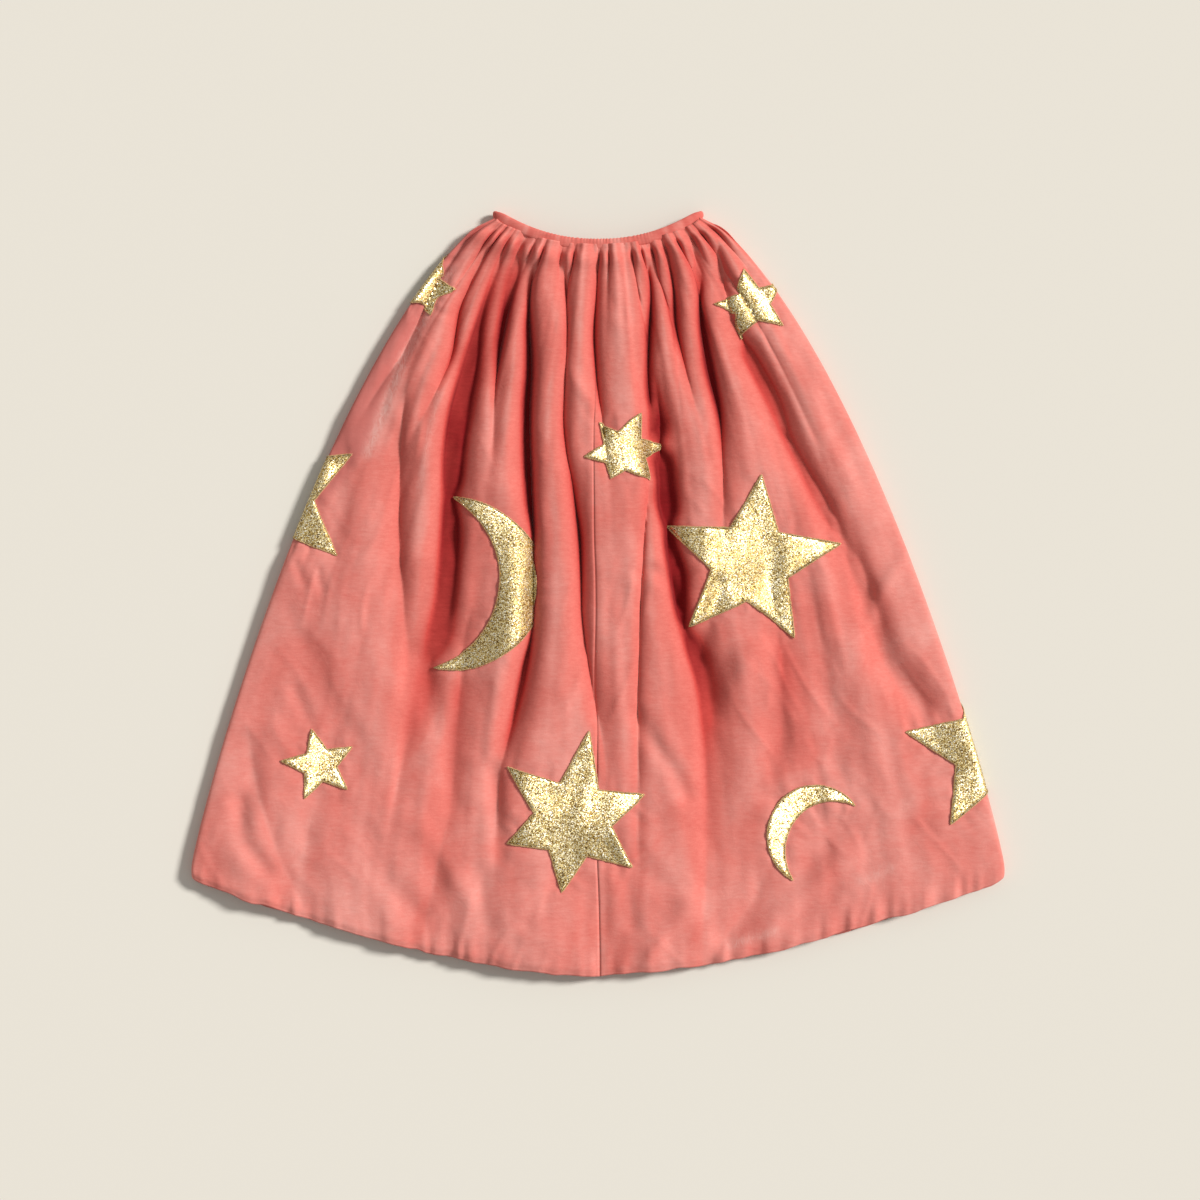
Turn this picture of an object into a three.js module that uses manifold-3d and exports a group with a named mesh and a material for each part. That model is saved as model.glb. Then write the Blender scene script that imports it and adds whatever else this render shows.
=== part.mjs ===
// A child's superhero cape, lying flat with its back up and both fronts folded under.
// Millimetres. +X across the cape, +Y towards the neck, +Z up from the surface it lies on.
import * as THREE from 'three';
import { mergeVertices } from 'three/addons/utils/BufferGeometryUtils.js';
import Module from 'manifold-3d';

const wasm = await Module();
wasm.setup();

// Overall sizes of the cape as it lies.
const length = 694;
const hemWidth = 740;
const neckWidth = 184;
const height = 28.4;

// The neckline, the hem and the side folds.
const backNeckDip = 27;
const frontNeckDip = 57;
const neckPower = 2.2;
const hemRise = 87;
const hemFlat = 125;
const shoulderReach = 156;
const shoulderDrop = 105;
const skirtLean = 7;

// Cloth thicknesses and the gap kept between neighbouring pieces.
const velvet = 3;
const lining = 1.5;
const clear = 0.3;
const foil = 1;
const trim = 1.3;

// Neckband and its elastic.
const bandWidth = 10;
const bandWall = 1.2;
const bandFold = 1.5;
const elasticWidth = 4;
const elasticShort = 6;

// The front opening, the creases that the fronts turn on, and the lining's hem.
const openingWidth = 12;
const creaseNeckInset = 6;
const hemStrip = 134;
const liningHemSetback = 4;

// Closure pads and the label.
const padWidth = 26;
const padHeight = 20;
const padThickness = 1.5;
const labelWidth = 32;
const labelHeight = 38;
const labelThickness = 0.8;

// Appliqués: tip radius, and notch radius as a share of it.
const largeStar = 79;
const largeSixStar = 74;
const smallStar = 33;
const fivePointNotch = 0.45;
const sixPointNotch = 0.55;
const moonSpan = 78;
const moonOuterDepth = 84.6;
const moonInnerDepth = 47.4;
const smallMoonSpan = 44.4;
const smallMoonOuterDepth = 55.7;
const smallMoonInnerDepth = 34.3;

// Levels that follow from the sizes above.
const neckTipX = neckWidth / 2;
const neckTipY = length / 2;
const hemY = -length / 2;
const velvetTop = height - clear - trim;
const backVelvetLow = velvetTop - velvet;
const backLiningTop = backVelvetLow - clear;
const backLiningLow = backLiningTop - lining;
const frontLiningLow = velvet + clear;
const frontLiningTop = frontLiningLow + lining;
const panelTop = bandFold + elasticWidth + 3 * clear;
const seamGap = clear;
const beyond = 40;
const middle = height / 2;
const creaseHemX = hemWidth / 2 - hemStrip;

const coral = 0xd9786c;
const liningPink = 0xe6a79b;
const gold = 0xd8b45c;
const white = 0xf2efe8;

function fabric(color, roughness = 0.9, metalness = 0) {
  return new THREE.MeshStandardMaterial({ color, roughness, metalness });
}

// Closed geometry to boolean solid and back.
function toSolid(geometry) {
  const bare = geometry.clone();
  bare.deleteAttribute('normal');
  bare.deleteAttribute('uv');
  const merged = mergeVertices(bare, 1e-4);
  return new wasm.Manifold(new wasm.Mesh({
    numProp: 3,
    vertProperties: new Float32Array(merged.attributes.position.array),
    triVerts: new Uint32Array(merged.index.array),
  }));
}

function toMesh(name, solid, material) {
  const mesh = solid.getMesh();
  const geometry = new THREE.BufferGeometry();
  geometry.setAttribute('position', new THREE.BufferAttribute(new Float32Array(mesh.vertProperties), 3));
  geometry.setIndex(new THREE.BufferAttribute(new Uint32Array(mesh.triVerts), 1));
  geometry.computeVertexNormals();
  const node = new THREE.Mesh(geometry, material);
  node.name = name;
  return node;
}

function prism(points, low, high) {
  const shape = new THREE.Shape(points);
  const geometry = new THREE.ExtrudeGeometry(shape, { depth: high - low, bevelEnabled: false });
  geometry.translate(0, 0, low);
  return toSolid(geometry);
}

const point = (x, y) => new THREE.Vector2(x, y);

// The side fold seen from above, from neck tip to hem corner, on the right side.
const sideCurve = new THREE.CubicBezierCurve(
  point(neckTipX, neckTipY),
  point(neckTipX + shoulderReach, neckTipY - shoulderDrop),
  point(hemWidth / 2 + skirtLean, hemY + hemRise + 10),
  point(hemWidth / 2, hemY + hemRise),
);

// Points along the side fold, moved in by inset and carried past both ends.
function sidePoints(side, inset) {
  const points = [];
  for (let i = 0; i <= 24; i += 1) {
    const at = sideCurve.getPoint(i / 24);
    const along = sideCurve.getTangent(i / 24);
    points.push(point(side * (at.x + along.y * inset), at.y - along.x * inset));
  }
  const first = points[0];
  const last = points[points.length - 1];
  points.unshift(point(first.x, first.y + beyond));
  points.push(point(last.x, last.y - beyond));
  return points;
}

// How far out the side fold runs at a given y.
function foldX(y) {
  let low = 0;
  let high = 1;
  for (let i = 0; i < 40; i += 1) {
    const mid = (low + high) / 2;
    if (sideCurve.getPoint(mid).y > y) {
      low = mid;
    } else {
      high = mid;
    }
  }
  return sideCurve.getPoint(low).x;
}

// A place on the back: share of the way to the right side fold, share of the length down.
function onBack(across, down) {
  const y = neckTipY - down * length;
  return point(across * foldX(y), y);
}

// The half of the plan from x = inner out to the side fold.
function halfPlan(side, inner, inset) {
  const points = sidePoints(side, inset);
  points.unshift(point(side * inner, points[0].y));
  points.push(point(side * inner, points[points.length - 1].y - 2 * beyond));
  return points;
}

function fullPlan(inset) {
  return [...sidePoints(1, inset), ...sidePoints(-1, inset).reverse()];
}

// A neckline that dips between the neck tips, moved down by offset.
function necklinePoints(dip, offset) {
  const points = [];
  for (let i = -12; i <= 12; i += 1) {
    const share = Math.abs(i) / 12;
    const slope = Math.sign(i) * dip * neckPower * share ** (neckPower - 1) / neckTipX;
    const size = Math.hypot(1, slope);
    const x = i / 12 * neckTipX;
    const y = neckTipY - dip * (1 - share ** neckPower);
    points.push(point(x + slope / size * offset, y - offset / size));
  }
  const rise = dip * neckPower / neckTipX * beyond;
  const first = points[0];
  const last = points[points.length - 1];
  points.unshift(point(first.x - beyond, first.y + rise));
  points.push(point(last.x + beyond, last.y + rise));
  return points;
}

function aboveNeckline(dip, offset, low = -beyond, high = beyond) {
  const points = necklinePoints(dip, offset);
  const lid = neckTipY + 3 * beyond;
  points.push(point(points[points.length - 1].x, lid), point(points[0].x, lid));
  return prism(points, low, high);
}

// Everything below the hem's curve, moved up by setback.
function belowHem(setback) {
  const reach = hemWidth / 2;
  const half = new THREE.QuadraticBezierCurve(
    point(0, hemY + setback), point(hemFlat, hemY + setback), point(reach, hemY + hemRise + setback),
  ).getPoints(14);
  const endRise = hemRise / (reach - hemFlat) * beyond;
  half.push(point(reach + beyond, hemY + hemRise + setback + endRise));
  const mirrored = half.slice(1).reverse().map((p) => point(-p.x, p.y));
  const floor = hemY - 3 * beyond;
  return prism(
    [...mirrored, ...half, point(reach + beyond, floor), point(-reach - beyond, floor)], -beyond, beyond,
  );
}

// Where the straight crease of a front crosses a given y.
function creaseX(y) {
  const share = (neckTipY - y) / (2 * neckTipY);
  return neckTipX - creaseNeckInset + share * (creaseHemX - neckTipX + creaseNeckInset);
}

// A place on a front: share of its width from the opening to the crease, share of the length down.
function onFront(side, across, down) {
  const y = neckTipY - down * length;
  const free = openingWidth / 2;
  return point(side * (free + across * (creaseX(y) - free)), y);
}

// The plan inside a crease, up to x = inner on the same side.
function insideCrease(side, inner, offset) {
  const high = neckTipY + beyond;
  const low = hemY - beyond;
  return [
    point(side * inner, high), point(side * (creaseX(high) + offset), high),
    point(side * (creaseX(low) + offset), low), point(side * inner, low),
  ];
}

// One half of a cloth layer: back, side fold and the strip under it, open at neck and hem.
function wrappedHalf(side, outset, thickness, low, high, neckOffset, hemSetback) {
  const inner = outset + thickness;
  return prism(halfPlan(side, seamGap / 2, outset), low, high)
    .subtract(prism(halfPlan(side, -beyond, inner), low + thickness, high - thickness))
    .subtract(aboveNeckline(backNeckDip, neckOffset))
    .subtract(belowHem(hemSetback))
    .subtract(prism(insideCrease(side, -beyond, clear), -beyond, middle));
}

function frontPanel(side, low, high, hemSetback) {
  return prism(insideCrease(side, openingWidth / 2, -clear), low, high)
    .subtract(aboveNeckline(frontNeckDip, panelTop))
    .subtract(belowHem(hemSetback));
}

// The space that the stacked velvet and lining take inside the back neckband.
function backPanelRoom() {
  const depth = velvet + lining + 3 * clear;
  const outside = prism(fullPlan(-clear), -clear, velvetTop + clear);
  const inside = prism(fullPlan(depth - clear), depth - clear, velvetTop + clear - depth);
  return outside.subtract(inside).subtract(aboveNeckline(backNeckDip, panelTop - clear));
}

function bandStrip(dip, from, to, low, high) {
  return aboveNeckline(dip, to, low, high).subtract(aboveNeckline(dip, from));
}

function neckbandBack() {
  const low = backLiningLow - clear - bandWall;
  const slotLow = backLiningLow - clear;
  const slotHigh = velvetTop + clear;
  return bandStrip(backNeckDip, 0, bandWidth, low, height)
    .intersect(prism(fullPlan(0), low, height))
    .subtract(bandStrip(backNeckDip, bandFold, panelTop, slotLow, slotHigh))
    .subtract(backPanelRoom());
}

function neckElastic() {
  const from = bandFold + clear;
  return bandStrip(backNeckDip, from, from + elasticWidth, backLiningLow, velvetTop)
    .intersect(prism(fullPlan(elasticShort), backLiningLow, velvetTop));
}

function neckbandFront(side) {
  const top = frontLiningTop + clear + bandWall;
  return bandStrip(frontNeckDip, 0, bandWidth, 0, top)
    .intersect(prism(insideCrease(side, openingWidth / 2, -clear), 0, top))
    .subtract(bandStrip(frontNeckDip, bandFold, 2 * bandWidth, bandWall, frontLiningTop + clear));
}

// Room for the front neckband's lower wall.
function frontBandRecess() {
  return aboveNeckline(frontNeckDip, bandWidth + clear, -beyond, bandWall + clear);
}

function rectangle(x, y, width, depth) {
  return [point(x, y), point(x + width, y), point(x + width, y + depth), point(x, y + depth)];
}

function padPlan(side, grow) {
  const x = side > 0 ? openingWidth / 2 + 3 : -openingWidth / 2 - 3 - padWidth;
  const y = neckTipY - frontNeckDip - bandWidth - 2 - padHeight;
  return rectangle(x - grow, y - grow, padWidth + 2 * grow, padHeight + 2 * grow);
}

// Appliqué outlines.
function star(tips, at, radius, notch, turn) {
  const points = [];
  for (let i = 0; i < 2 * tips; i += 1) {
    const r = i % 2 === 0 ? radius : radius * notch;
    const angle = THREE.MathUtils.degToRad(turn) + i * Math.PI / tips;
    points.push(point(at.x + r * Math.cos(angle), at.y + r * Math.sin(angle)));
  }
  return points;
}

// Points on an arc from (0, -span) to (0, span) that bulges by depth along +X.
function bulge(span, depth, steps) {
  const radius = (span * span + depth * depth) / (2 * depth);
  const half = Math.atan2(span, radius - depth);
  const points = [];
  for (let i = 0; i <= steps; i += 1) {
    const angle = -half + 2 * half * i / steps;
    points.push(point(depth - radius + radius * Math.cos(angle), radius * Math.sin(angle)));
  }
  return points;
}

// A crescent between two arcs, placed by the middle of the line between its horns.
function crescent(at, span, outerDepth, innerDepth, turn) {
  const outer = bulge(span, outerDepth, 24);
  const inner = bulge(span, innerDepth, 18).slice(1, -1).reverse();
  const centre = point(0, 0);
  const angle = THREE.MathUtils.degToRad(turn);
  return [...outer, ...inner].map((p) => p.clone().rotateAround(centre, angle).add(at));
}

// The nearest stretch of the side fold to a point: a place on it and its direction.
function nearestFold(side, place) {
  let best = null;
  for (let i = 0; i <= 200; i += 1) {
    const at = sideCurve.getPoint(i / 200);
    const gap = Math.hypot(side * at.x - place.x, at.y - place.y);
    if (best === null || gap < best.gap) {
      const along = sideCurve.getTangent(i / 200);
      best = { gap, at: point(side * at.x, at.y), along: point(side * along.x, along.y) };
    }
  }
  return best;
}

function mirrorAcrossFold(points, fold) {
  const normal = point(-fold.along.y, fold.along.x);
  return points.map((p) => {
    const distance = p.clone().sub(fold.at).dot(normal);
    return p.clone().addScaledVector(normal, -2 * distance);
  });
}

// A prism with the clearance added all round its outline.
function roomyPrism(points, low, high) {
  let room = prism(points, low, high);
  for (let i = 0; i < 8; i += 1) {
    const shift = point(clear, 0).rotateAround(point(0, 0), i * Math.PI / 4);
    room = room.add(prism(points.map((p) => p.clone().add(shift)), low, high));
  }
  return room;
}

// A foil shell just inside the side fold: over the back, round the fold and under the strip.
function foldShell(thickness) {
  const outside = prism(fullPlan(0), -clear / 2, height - trim + foil);
  const inside = prism(fullPlan(thickness), thickness, height - trim);
  return outside.subtract(inside);
}

// The prism that a folded appliqué is cut from: its outline above, the mirrored one below,
// which ends where its strip of cloth does.
function foldedPrism(side, outline, place, makePrism) {
  const under = mirrorAcrossFold(outline, nearestFold(side, place));
  const strip = makePrism(under, -beyond, middle)
    .subtract(prism(insideCrease(side, -beyond, clear), -beyond, middle));
  return makePrism(outline, middle, beyond).add(strip);
}

function foldedApplique(side, outline, place) {
  const aboveFloor = prism(fullPlan(-1), 0, height);
  return foldedPrism(side, outline, place, prism).intersect(foldShell(foil)).intersect(aboveFloor);
}

function foldedRecess(side, outline, place) {
  const shell = prism(fullPlan(-1), -beyond, beyond)
    .subtract(prism(fullPlan(foil + clear), foil + clear, beyond));
  return foldedPrism(side, outline, place, roomyPrism).intersect(shell);
}

// A front appliqué, trimmed where its panel ends.
function frontApplique(side, outline) {
  return prism(outline, 0, foil).intersect(frontPanel(side, 0, velvet, 0));
}

const backLow = height - trim;
const backAppliques = {
  star_shoulder_right: star(5, onBack(0.8, 0.124), smallStar, fivePointNotch, 108),
  star_small_back: star(6, onBack(0.103, 0.316), smallStar, sixPointNotch, 69),
  moon_large: crescent(onBack(-0.47, 0.487), moonSpan, moonOuterDepth, moonInnerDepth, -7.6),
  star_large_back: star(5, onBack(0.485, 0.46), largeStar, fivePointNotch, 84),
  star_small_hem: star(5, onBack(-0.723, 0.725), smallStar, fivePointNotch, 102),
  star_large_hem: star(6, onBack(-0.058, 0.796), largeSixStar, sixPointNotch, 80),
  moon_small_hem: crescent(
    onBack(0.554, 0.827), smallMoonSpan, smallMoonOuterDepth, smallMoonInnerDepth, 139.5,
  ),
};

// Appliqués that go round a side fold: side, centre, radius, turn.
const foldedStars = {
  star_shoulder_left: [-1, onBack(-0.95, 0.101), smallStar, 66],
  star_side_left: [-1, onBack(-1.11, 0.373), largeStar, 28],
  star_side_right: [1, onBack(1.034, 0.702), largeStar, 170],
};

const frontAppliques = {
  left: {
    star_front_left: star(5, onFront(-1, 0.566, 0.716), largeStar, fivePointNotch, 100),
    star_small_front_left: star(5, onFront(-1, 0.579, 0.341), smallStar, fivePointNotch, 75),
  },
  right: {
    moon_front_right: crescent(
      onFront(1, 0.369, 0.731), moonSpan, moonOuterDepth, moonInnerDepth, 12,
    ),
    star_small_front_right: star(6, onFront(1, 0.515, 0.399), smallStar, sixPointNotch, 95),
  },
};

const cape = new THREE.Group();
const left = -1;
const right = 1;

function addSide(side, word) {
  let outer = wrappedHalf(side, 0, velvet, 0, velvetTop, panelTop, 0);
  for (const [at, place, radius, turn] of Object.values(foldedStars)) {
    if (at === side) {
      outer = outer.subtract(foldedRecess(at, star(5, place, radius, fivePointNotch, turn), place));
    }
  }
  cape.add(toMesh(`outer_${word}`, outer, fabric(coral)));
  const inner = wrappedHalf(
    side, velvet + clear, lining, frontLiningLow, backLiningTop, panelTop, liningHemSetback,
  );
  cape.add(toMesh(`lining_${word}`, inner, fabric(liningPink, 0.6)));
}

function addFront(side, word) {
  let outer = frontPanel(side, 0, velvet, 0).subtract(frontBandRecess());
  const shapes = frontAppliques[word];
  for (const [name, outline] of Object.entries(shapes)) {
    outer = outer.subtract(roomyPrism(outline, -beyond, foil + clear));
    cape.add(toMesh(name, frontApplique(side, outline), fabric(gold, 0.35, 0.8)));
  }
  if (side === right) {
    outer = outer.subtract(prism(padPlan(side, clear), -beyond, padThickness + clear));
    cape.add(toMesh('loop_pad', prism(padPlan(side, 0), 0, padThickness), fabric(white)));
  } else {
    const low = frontLiningTop + clear;
    cape.add(toMesh('hook_pad', prism(padPlan(side, 0), low, low + padThickness), fabric(white)));
  }
  cape.add(toMesh(`outer_${word}_front`, outer, fabric(coral)));
  const inner = frontPanel(side, frontLiningLow, frontLiningTop, liningHemSetback);
  cape.add(toMesh(`lining_${word}_front`, inner, fabric(liningPink, 0.6)));
  cape.add(toMesh(`neckband_${word}`, neckbandFront(side), fabric(coral)));
}

function careLabel() {
  const top = backLiningLow - clear;
  const y = neckTipY - backNeckDip - bandWidth - clear - labelHeight;
  return prism(rectangle(-labelWidth / 2, y, labelWidth, labelHeight), top - labelThickness, top);
}

addSide(left, 'left');
addSide(right, 'right');
addFront(left, 'left');
addFront(right, 'right');
cape.add(toMesh('neckband_back', neckbandBack(), fabric(coral)));
cape.add(toMesh('neck_elastic', neckElastic(), fabric(white, 0.7)));
cape.add(toMesh('care_label', careLabel(), fabric(white, 0.7)));

for (const [name, outline] of Object.entries(backAppliques)) {
  cape.add(toMesh(name, prism(outline, backLow, backLow + foil), fabric(gold, 0.35, 0.8)));
}
for (const [name, [side, place, radius, turn]] of Object.entries(foldedStars)) {
  const outline = star(5, place, radius, fivePointNotch, turn);
  cape.add(toMesh(name, foldedApplique(side, outline, place), fabric(gold, 0.35, 0.8)));
}

export default cape;
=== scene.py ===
import math
import bpy
import numpy as np
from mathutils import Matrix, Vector
from mathutils.geometry import delaunay_2d_cdt


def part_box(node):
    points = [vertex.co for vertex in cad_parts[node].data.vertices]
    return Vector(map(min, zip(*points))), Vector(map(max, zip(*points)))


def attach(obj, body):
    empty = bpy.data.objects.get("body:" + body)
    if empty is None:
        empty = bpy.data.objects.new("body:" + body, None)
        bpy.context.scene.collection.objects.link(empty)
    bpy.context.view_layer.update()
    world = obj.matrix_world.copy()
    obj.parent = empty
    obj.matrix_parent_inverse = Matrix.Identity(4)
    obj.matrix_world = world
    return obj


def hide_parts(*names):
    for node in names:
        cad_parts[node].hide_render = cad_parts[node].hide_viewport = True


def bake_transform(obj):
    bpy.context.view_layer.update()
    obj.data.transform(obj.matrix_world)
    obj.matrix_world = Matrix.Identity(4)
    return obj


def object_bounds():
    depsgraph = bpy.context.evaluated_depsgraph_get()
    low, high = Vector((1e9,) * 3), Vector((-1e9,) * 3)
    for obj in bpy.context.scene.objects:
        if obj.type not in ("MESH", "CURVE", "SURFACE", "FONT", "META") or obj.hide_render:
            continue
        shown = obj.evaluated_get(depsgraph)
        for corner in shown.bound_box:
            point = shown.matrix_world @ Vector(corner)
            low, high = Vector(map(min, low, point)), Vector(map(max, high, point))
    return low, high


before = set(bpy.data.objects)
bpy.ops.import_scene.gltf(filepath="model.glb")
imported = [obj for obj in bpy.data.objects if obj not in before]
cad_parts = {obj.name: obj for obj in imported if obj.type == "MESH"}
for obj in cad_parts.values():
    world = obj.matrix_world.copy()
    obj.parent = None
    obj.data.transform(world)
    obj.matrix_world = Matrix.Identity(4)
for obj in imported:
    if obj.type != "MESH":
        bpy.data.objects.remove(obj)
cadLow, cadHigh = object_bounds()
print("frame loaded")

mm = 0.001

# The cape's plan. Its ends come from the CAD box, the rest are the same sizes as the CAD uses.
plan = {
    "halfHem": cadHigh[0], "top": cadHigh[1], "hemLow": cadLow[1],
    "neckTip": 92 * mm, "backDip": 27 * mm, "frontDip": 57 * mm, "neckPower": 2.2,
    "hemRise": 87 * mm, "hemFlat": 125 * mm, "cornerLift": 10 * mm,
    "shoulderReach": 156 * mm, "shoulderDrop": 105 * mm, "skirtLean": 7 * mm,
    "tuck": 5 * mm,             # from the neckline to the cloth's own edge, inside the band
    "frontRaise": 2.5 * mm,
    "openingHalf": 6.3 * mm, "creaseNeckInset": 6 * mm, "hemStrip": 134 * mm,
    "foldRadius": 4.5 * mm,     # roundness of the side folds
}


def bezierLine(points, count):
    t = np.linspace(0, 1, count)[:, None]
    a, b, c, d = (np.array(p, float) for p in points)
    return (1 - t) ** 3 * a + 3 * (1 - t) ** 2 * t * b + 3 * (1 - t) * t * t * c + t ** 3 * d


sideLine = bezierLine([
    (plan["neckTip"], plan["top"]),
    (plan["neckTip"] + plan["shoulderReach"], plan["top"] - plan["shoulderDrop"]),
    (plan["halfHem"] + plan["skirtLean"], plan["hemLow"] + plan["hemRise"] + plan["cornerLift"]),
    (plan["halfHem"], plan["hemLow"] + plan["hemRise"]),
], 600)
hemShare = np.linspace(0, 1, 200)
hemX = 2 * hemShare * (1 - hemShare) * plan["hemFlat"] + hemShare ** 2 * plan["halfHem"]
hemY = plan["hemLow"] + hemShare ** 2 * plan["hemRise"]


def halfWidth(y):
    return np.interp(y, sideLine[::-1, 1], sideLine[::-1, 0])


def neckline(x, dip):
    share = np.clip(np.abs(x) / plan["neckTip"], 0, 1.3)
    return plan["top"] - dip * (1 - share ** plan["neckPower"])


def hemline(x):
    return np.interp(np.abs(x), hemX, hemY)


def creaseX(y):
    share = (plan["top"] - y) / (2 * plan["top"])
    neckEnd = plan["neckTip"] - plan["creaseNeckInset"]
    return neckEnd + share * (plan["halfHem"] - plan["hemStrip"] - neckEnd)


def smooth(low, high, x):
    t = np.clip((x - low) / (high - low), 0, 1)
    return t * t * (3 - 2 * t)


def latticeNoise(x, y, seed):
    size = 64
    cells = np.random.default_rng(seed).random((size, size)) * 2 - 1
    xi, yi = np.floor(x).astype(int), np.floor(y).astype(int)
    xf, yf = x - xi, y - yi
    xf = xf * xf * xf * (xf * (xf * 6 - 15) + 10)
    yf = yf * yf * yf * (yf * (yf * 6 - 15) + 10)
    a = cells[xi % size, yi % size]
    b = cells[(xi + 1) % size, yi % size]
    c = cells[xi % size, (yi + 1) % size]
    d = cells[(xi + 1) % size, (yi + 1) % size]
    return (a * (1 - xf) + b * xf) * (1 - yf) + (c * (1 - xf) + d * xf) * yf


def layeredNoise(x, y, seed, layers=3):
    total = 0
    for k in range(layers):
        total = total + latticeNoise(x * 2 ** k + 7.3 * k, y * 2 ** k + 3.1 * k, seed + k) / 2 ** k
    return total


# The folds. Each is a valley that runs down the cape through its stations: share of the
# length, place across (0 the middle, 1 the right fold, -1 the left) and depth in mm.
# Widths are its reach to the left and to the right, in mm.
folds = {
    "leftShoulder": ([(0, -0.97, 2), (0.1, -0.87, 6), (0.2, -0.88, 5), (0.3, -0.93, 0)], (7, 9)),
    "leftTube": ([(0, -0.76, 4), (0.05, -0.73, 8), (0.12, -0.71, 10), (0.18, -0.64, 8), (0.25, -0.66, 3),
                  (0.32, -0.7, 0)], (9, 8)),
    "leftDeep": ([(0, -0.63, 4), (0.05, -0.61, 9), (0.12, -0.586, 10), (0.18, -0.55, 15), (0.25, -0.545, 19),
                  (0.31, -0.53, 18), (0.4, -0.494, 16), (0.51, -0.468, 13), (0.61, -0.477, 10),
                  (0.715, -0.505, 8), (0.82, -0.52, 3), (0.92, -0.53, 0)], (9, 13)),
    "leftSecond": ([(0, -0.51, 4), (0.05, -0.49, 9), (0.12, -0.458, 14), (0.18, -0.42, 8), (0.25, -0.39, 3),
                    (0.32, -0.36, 0)], (7, 8)),
    "leftInner": ([(0, -0.4, 4), (0.06, -0.38, 9), (0.12, -0.33, 13), (0.18, -0.28, 15), (0.25, -0.257, 16),
                   (0.31, -0.235, 17), (0.4, -0.21, 16), (0.51, -0.19, 15), (0.61, -0.208, 13),
                   (0.715, -0.24, 10), (0.82, -0.25, 5), (0.93, -0.25, 1)], (9, 7)),
    "beforeSeam": ([(0, -0.21, 3), (0.06, -0.19, 9), (0.12, -0.14, 8), (0.18, -0.125, 7), (0.25, -0.12, 9),
                    (0.31, -0.085, 9), (0.4, -0.052, 12), (0.51, -0.045, 8), (0.61, -0.01, 8),
                    (0.715, 0.025, 3), (0.85, 0.02, 2), (1, 0.012, 3)], (6, 8)),
    "overSeam": ([(0, -0.03, 3), (0.05, 0, 7), (0.12, -0.005, 10), (0.18, 0.01, 8), (0.25, 0.04, 6),
                  (0.34, 0.05, 0)], (6, 7)),
    "rightInner": ([(0, 0.33, 4), (0.05, 0.3, 9), (0.12, 0.245, 12), (0.18, 0.21, 9), (0.24, 0.2, 5),
                    (0.3, 0.19, 0)], (7, 8)),
    "rightCrease": ([(0.2, 0.2, 0), (0.28, 0.19, 5), (0.48, 0.136, 4), (0.63, 0.11, 5), (0.78, 0.1, 4),
                     (0.92, 0.095, 0)], (4, 4)),
    "rightDeep": ([(0.17, 0.25, 0), (0.25, 0.235, 9), (0.31, 0.22, 17), (0.4, 0.237, 17), (0.51, 0.251, 15),
                   (0.61, 0.29, 12), (0.715, 0.28, 9), (0.82, 0.26, 9), (0.92, 0.25, 8),
                   (1, 0.25, 5)], (8, 14)),
    "rightTube": ([(0, 0.46, 4), (0.05, 0.43, 9), (0.12, 0.373, 10), (0.18, 0.37, 5),
                   (0.27, 0.39, 0)], (7, 7)),
    "rightSecond": ([(0, 0.66, 4), (0.05, 0.6, 9), (0.12, 0.5, 14), (0.18, 0.48, 15), (0.25, 0.48, 10),
                     (0.31, 0.455, 5), (0.42, 0.41, 3), (0.52, 0.38, 0)], (8, 9)),
    "rightLong": ([(0, 0.93, 2), (0.06, 0.74, 8), (0.12, 0.67, 7), (0.18, 0.69, 14), (0.25, 0.725, 14),
                   (0.31, 0.72, 10), (0.4, 0.764, 11), (0.51, 0.81, 9), (0.61, 0.82, 8), (0.715, 0.88, 6),
                   (0.85, 0.92, 0)], (14, 8)),
    "leftHip": ([(0.22, -0.8, 0), (0.31, -0.727, 6), (0.4, -0.67, 6), (0.51, -0.594, 6), (0.61, -0.54, 4),
                 (0.7, -0.53, 0)], (14, 9)),
    "leftSkirt": ([(0.5, -0.39, 0), (0.58, -0.393, 6), (0.7, -0.375, 8), (0.8, -0.37, 8), (0.92, -0.4, 6),
                   (1, -0.42, 4)], (9, 15)),
    "leftFlank": ([(0.6, -0.78, 0), (0.75, -0.74, 4), (0.9, -0.72, 3), (1, -0.7, 2)], (20, 24)),
    "cornerLeft": ([(0.74, -0.95, 0), (0.82, -0.885, 4), (0.92, -0.78, 3.5), (1, -0.7, 1)], (8, 6)),
    "cornerRight": ([(0.84, 0.44, 0), (0.92, 0.38, 4), (1, 0.26, 3)], (7, 10)),
    "rightSkirt": ([(0.5, 0.66, 0), (0.6, 0.64, 4), (0.75, 0.62, 6), (0.9, 0.66, 4), (1, 0.7, 3)], (24, 18)),
    "rightFlank": ([(0.36, 0.52, 0), (0.5, 0.53, 4), (0.62, 0.52, 5), (0.76, 0.46, 4),
                    (0.9, 0.42, 0)], (16, 20)),
}
crown = {"rim": 12, "middle": 26.5, "hem": 16.5, "floor": 8.0, "rimPower": 2.2, "deeper": 1.7}
gathers = {"count": 19, "height": 13, "reach": 0.05, "jitter": 0.6, "sharp": 0.62, "puff": 3.0}


def glide(t, shares, values):
    fine = np.linspace(0, 1, 400)
    line = np.interp(fine, shares, values)
    bell = np.hanning(35)
    soft = np.convolve(np.pad(line, 17, mode="edge"), bell / bell.sum(), mode="valid")
    return np.interp(t, fine, soft)


foldLines = []
for stations, widths in folds.values():
    down, place, depth = (np.array(c, float) for c in zip(*stations))
    foldLines.append((down, place, depth, widths))


def crownHeight(s, t):
    side = np.clip(np.abs(s), 0, 1)
    full = crown["middle"] + (crown["hem"] - crown["middle"]) * smooth(0.25, 1.0, t)
    full = full - 4.5 * (1 - smooth(0, 0.14, t))
    return crown["rim"] + (full - crown["rim"]) * (1 - side ** crown["rimPower"])


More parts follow.
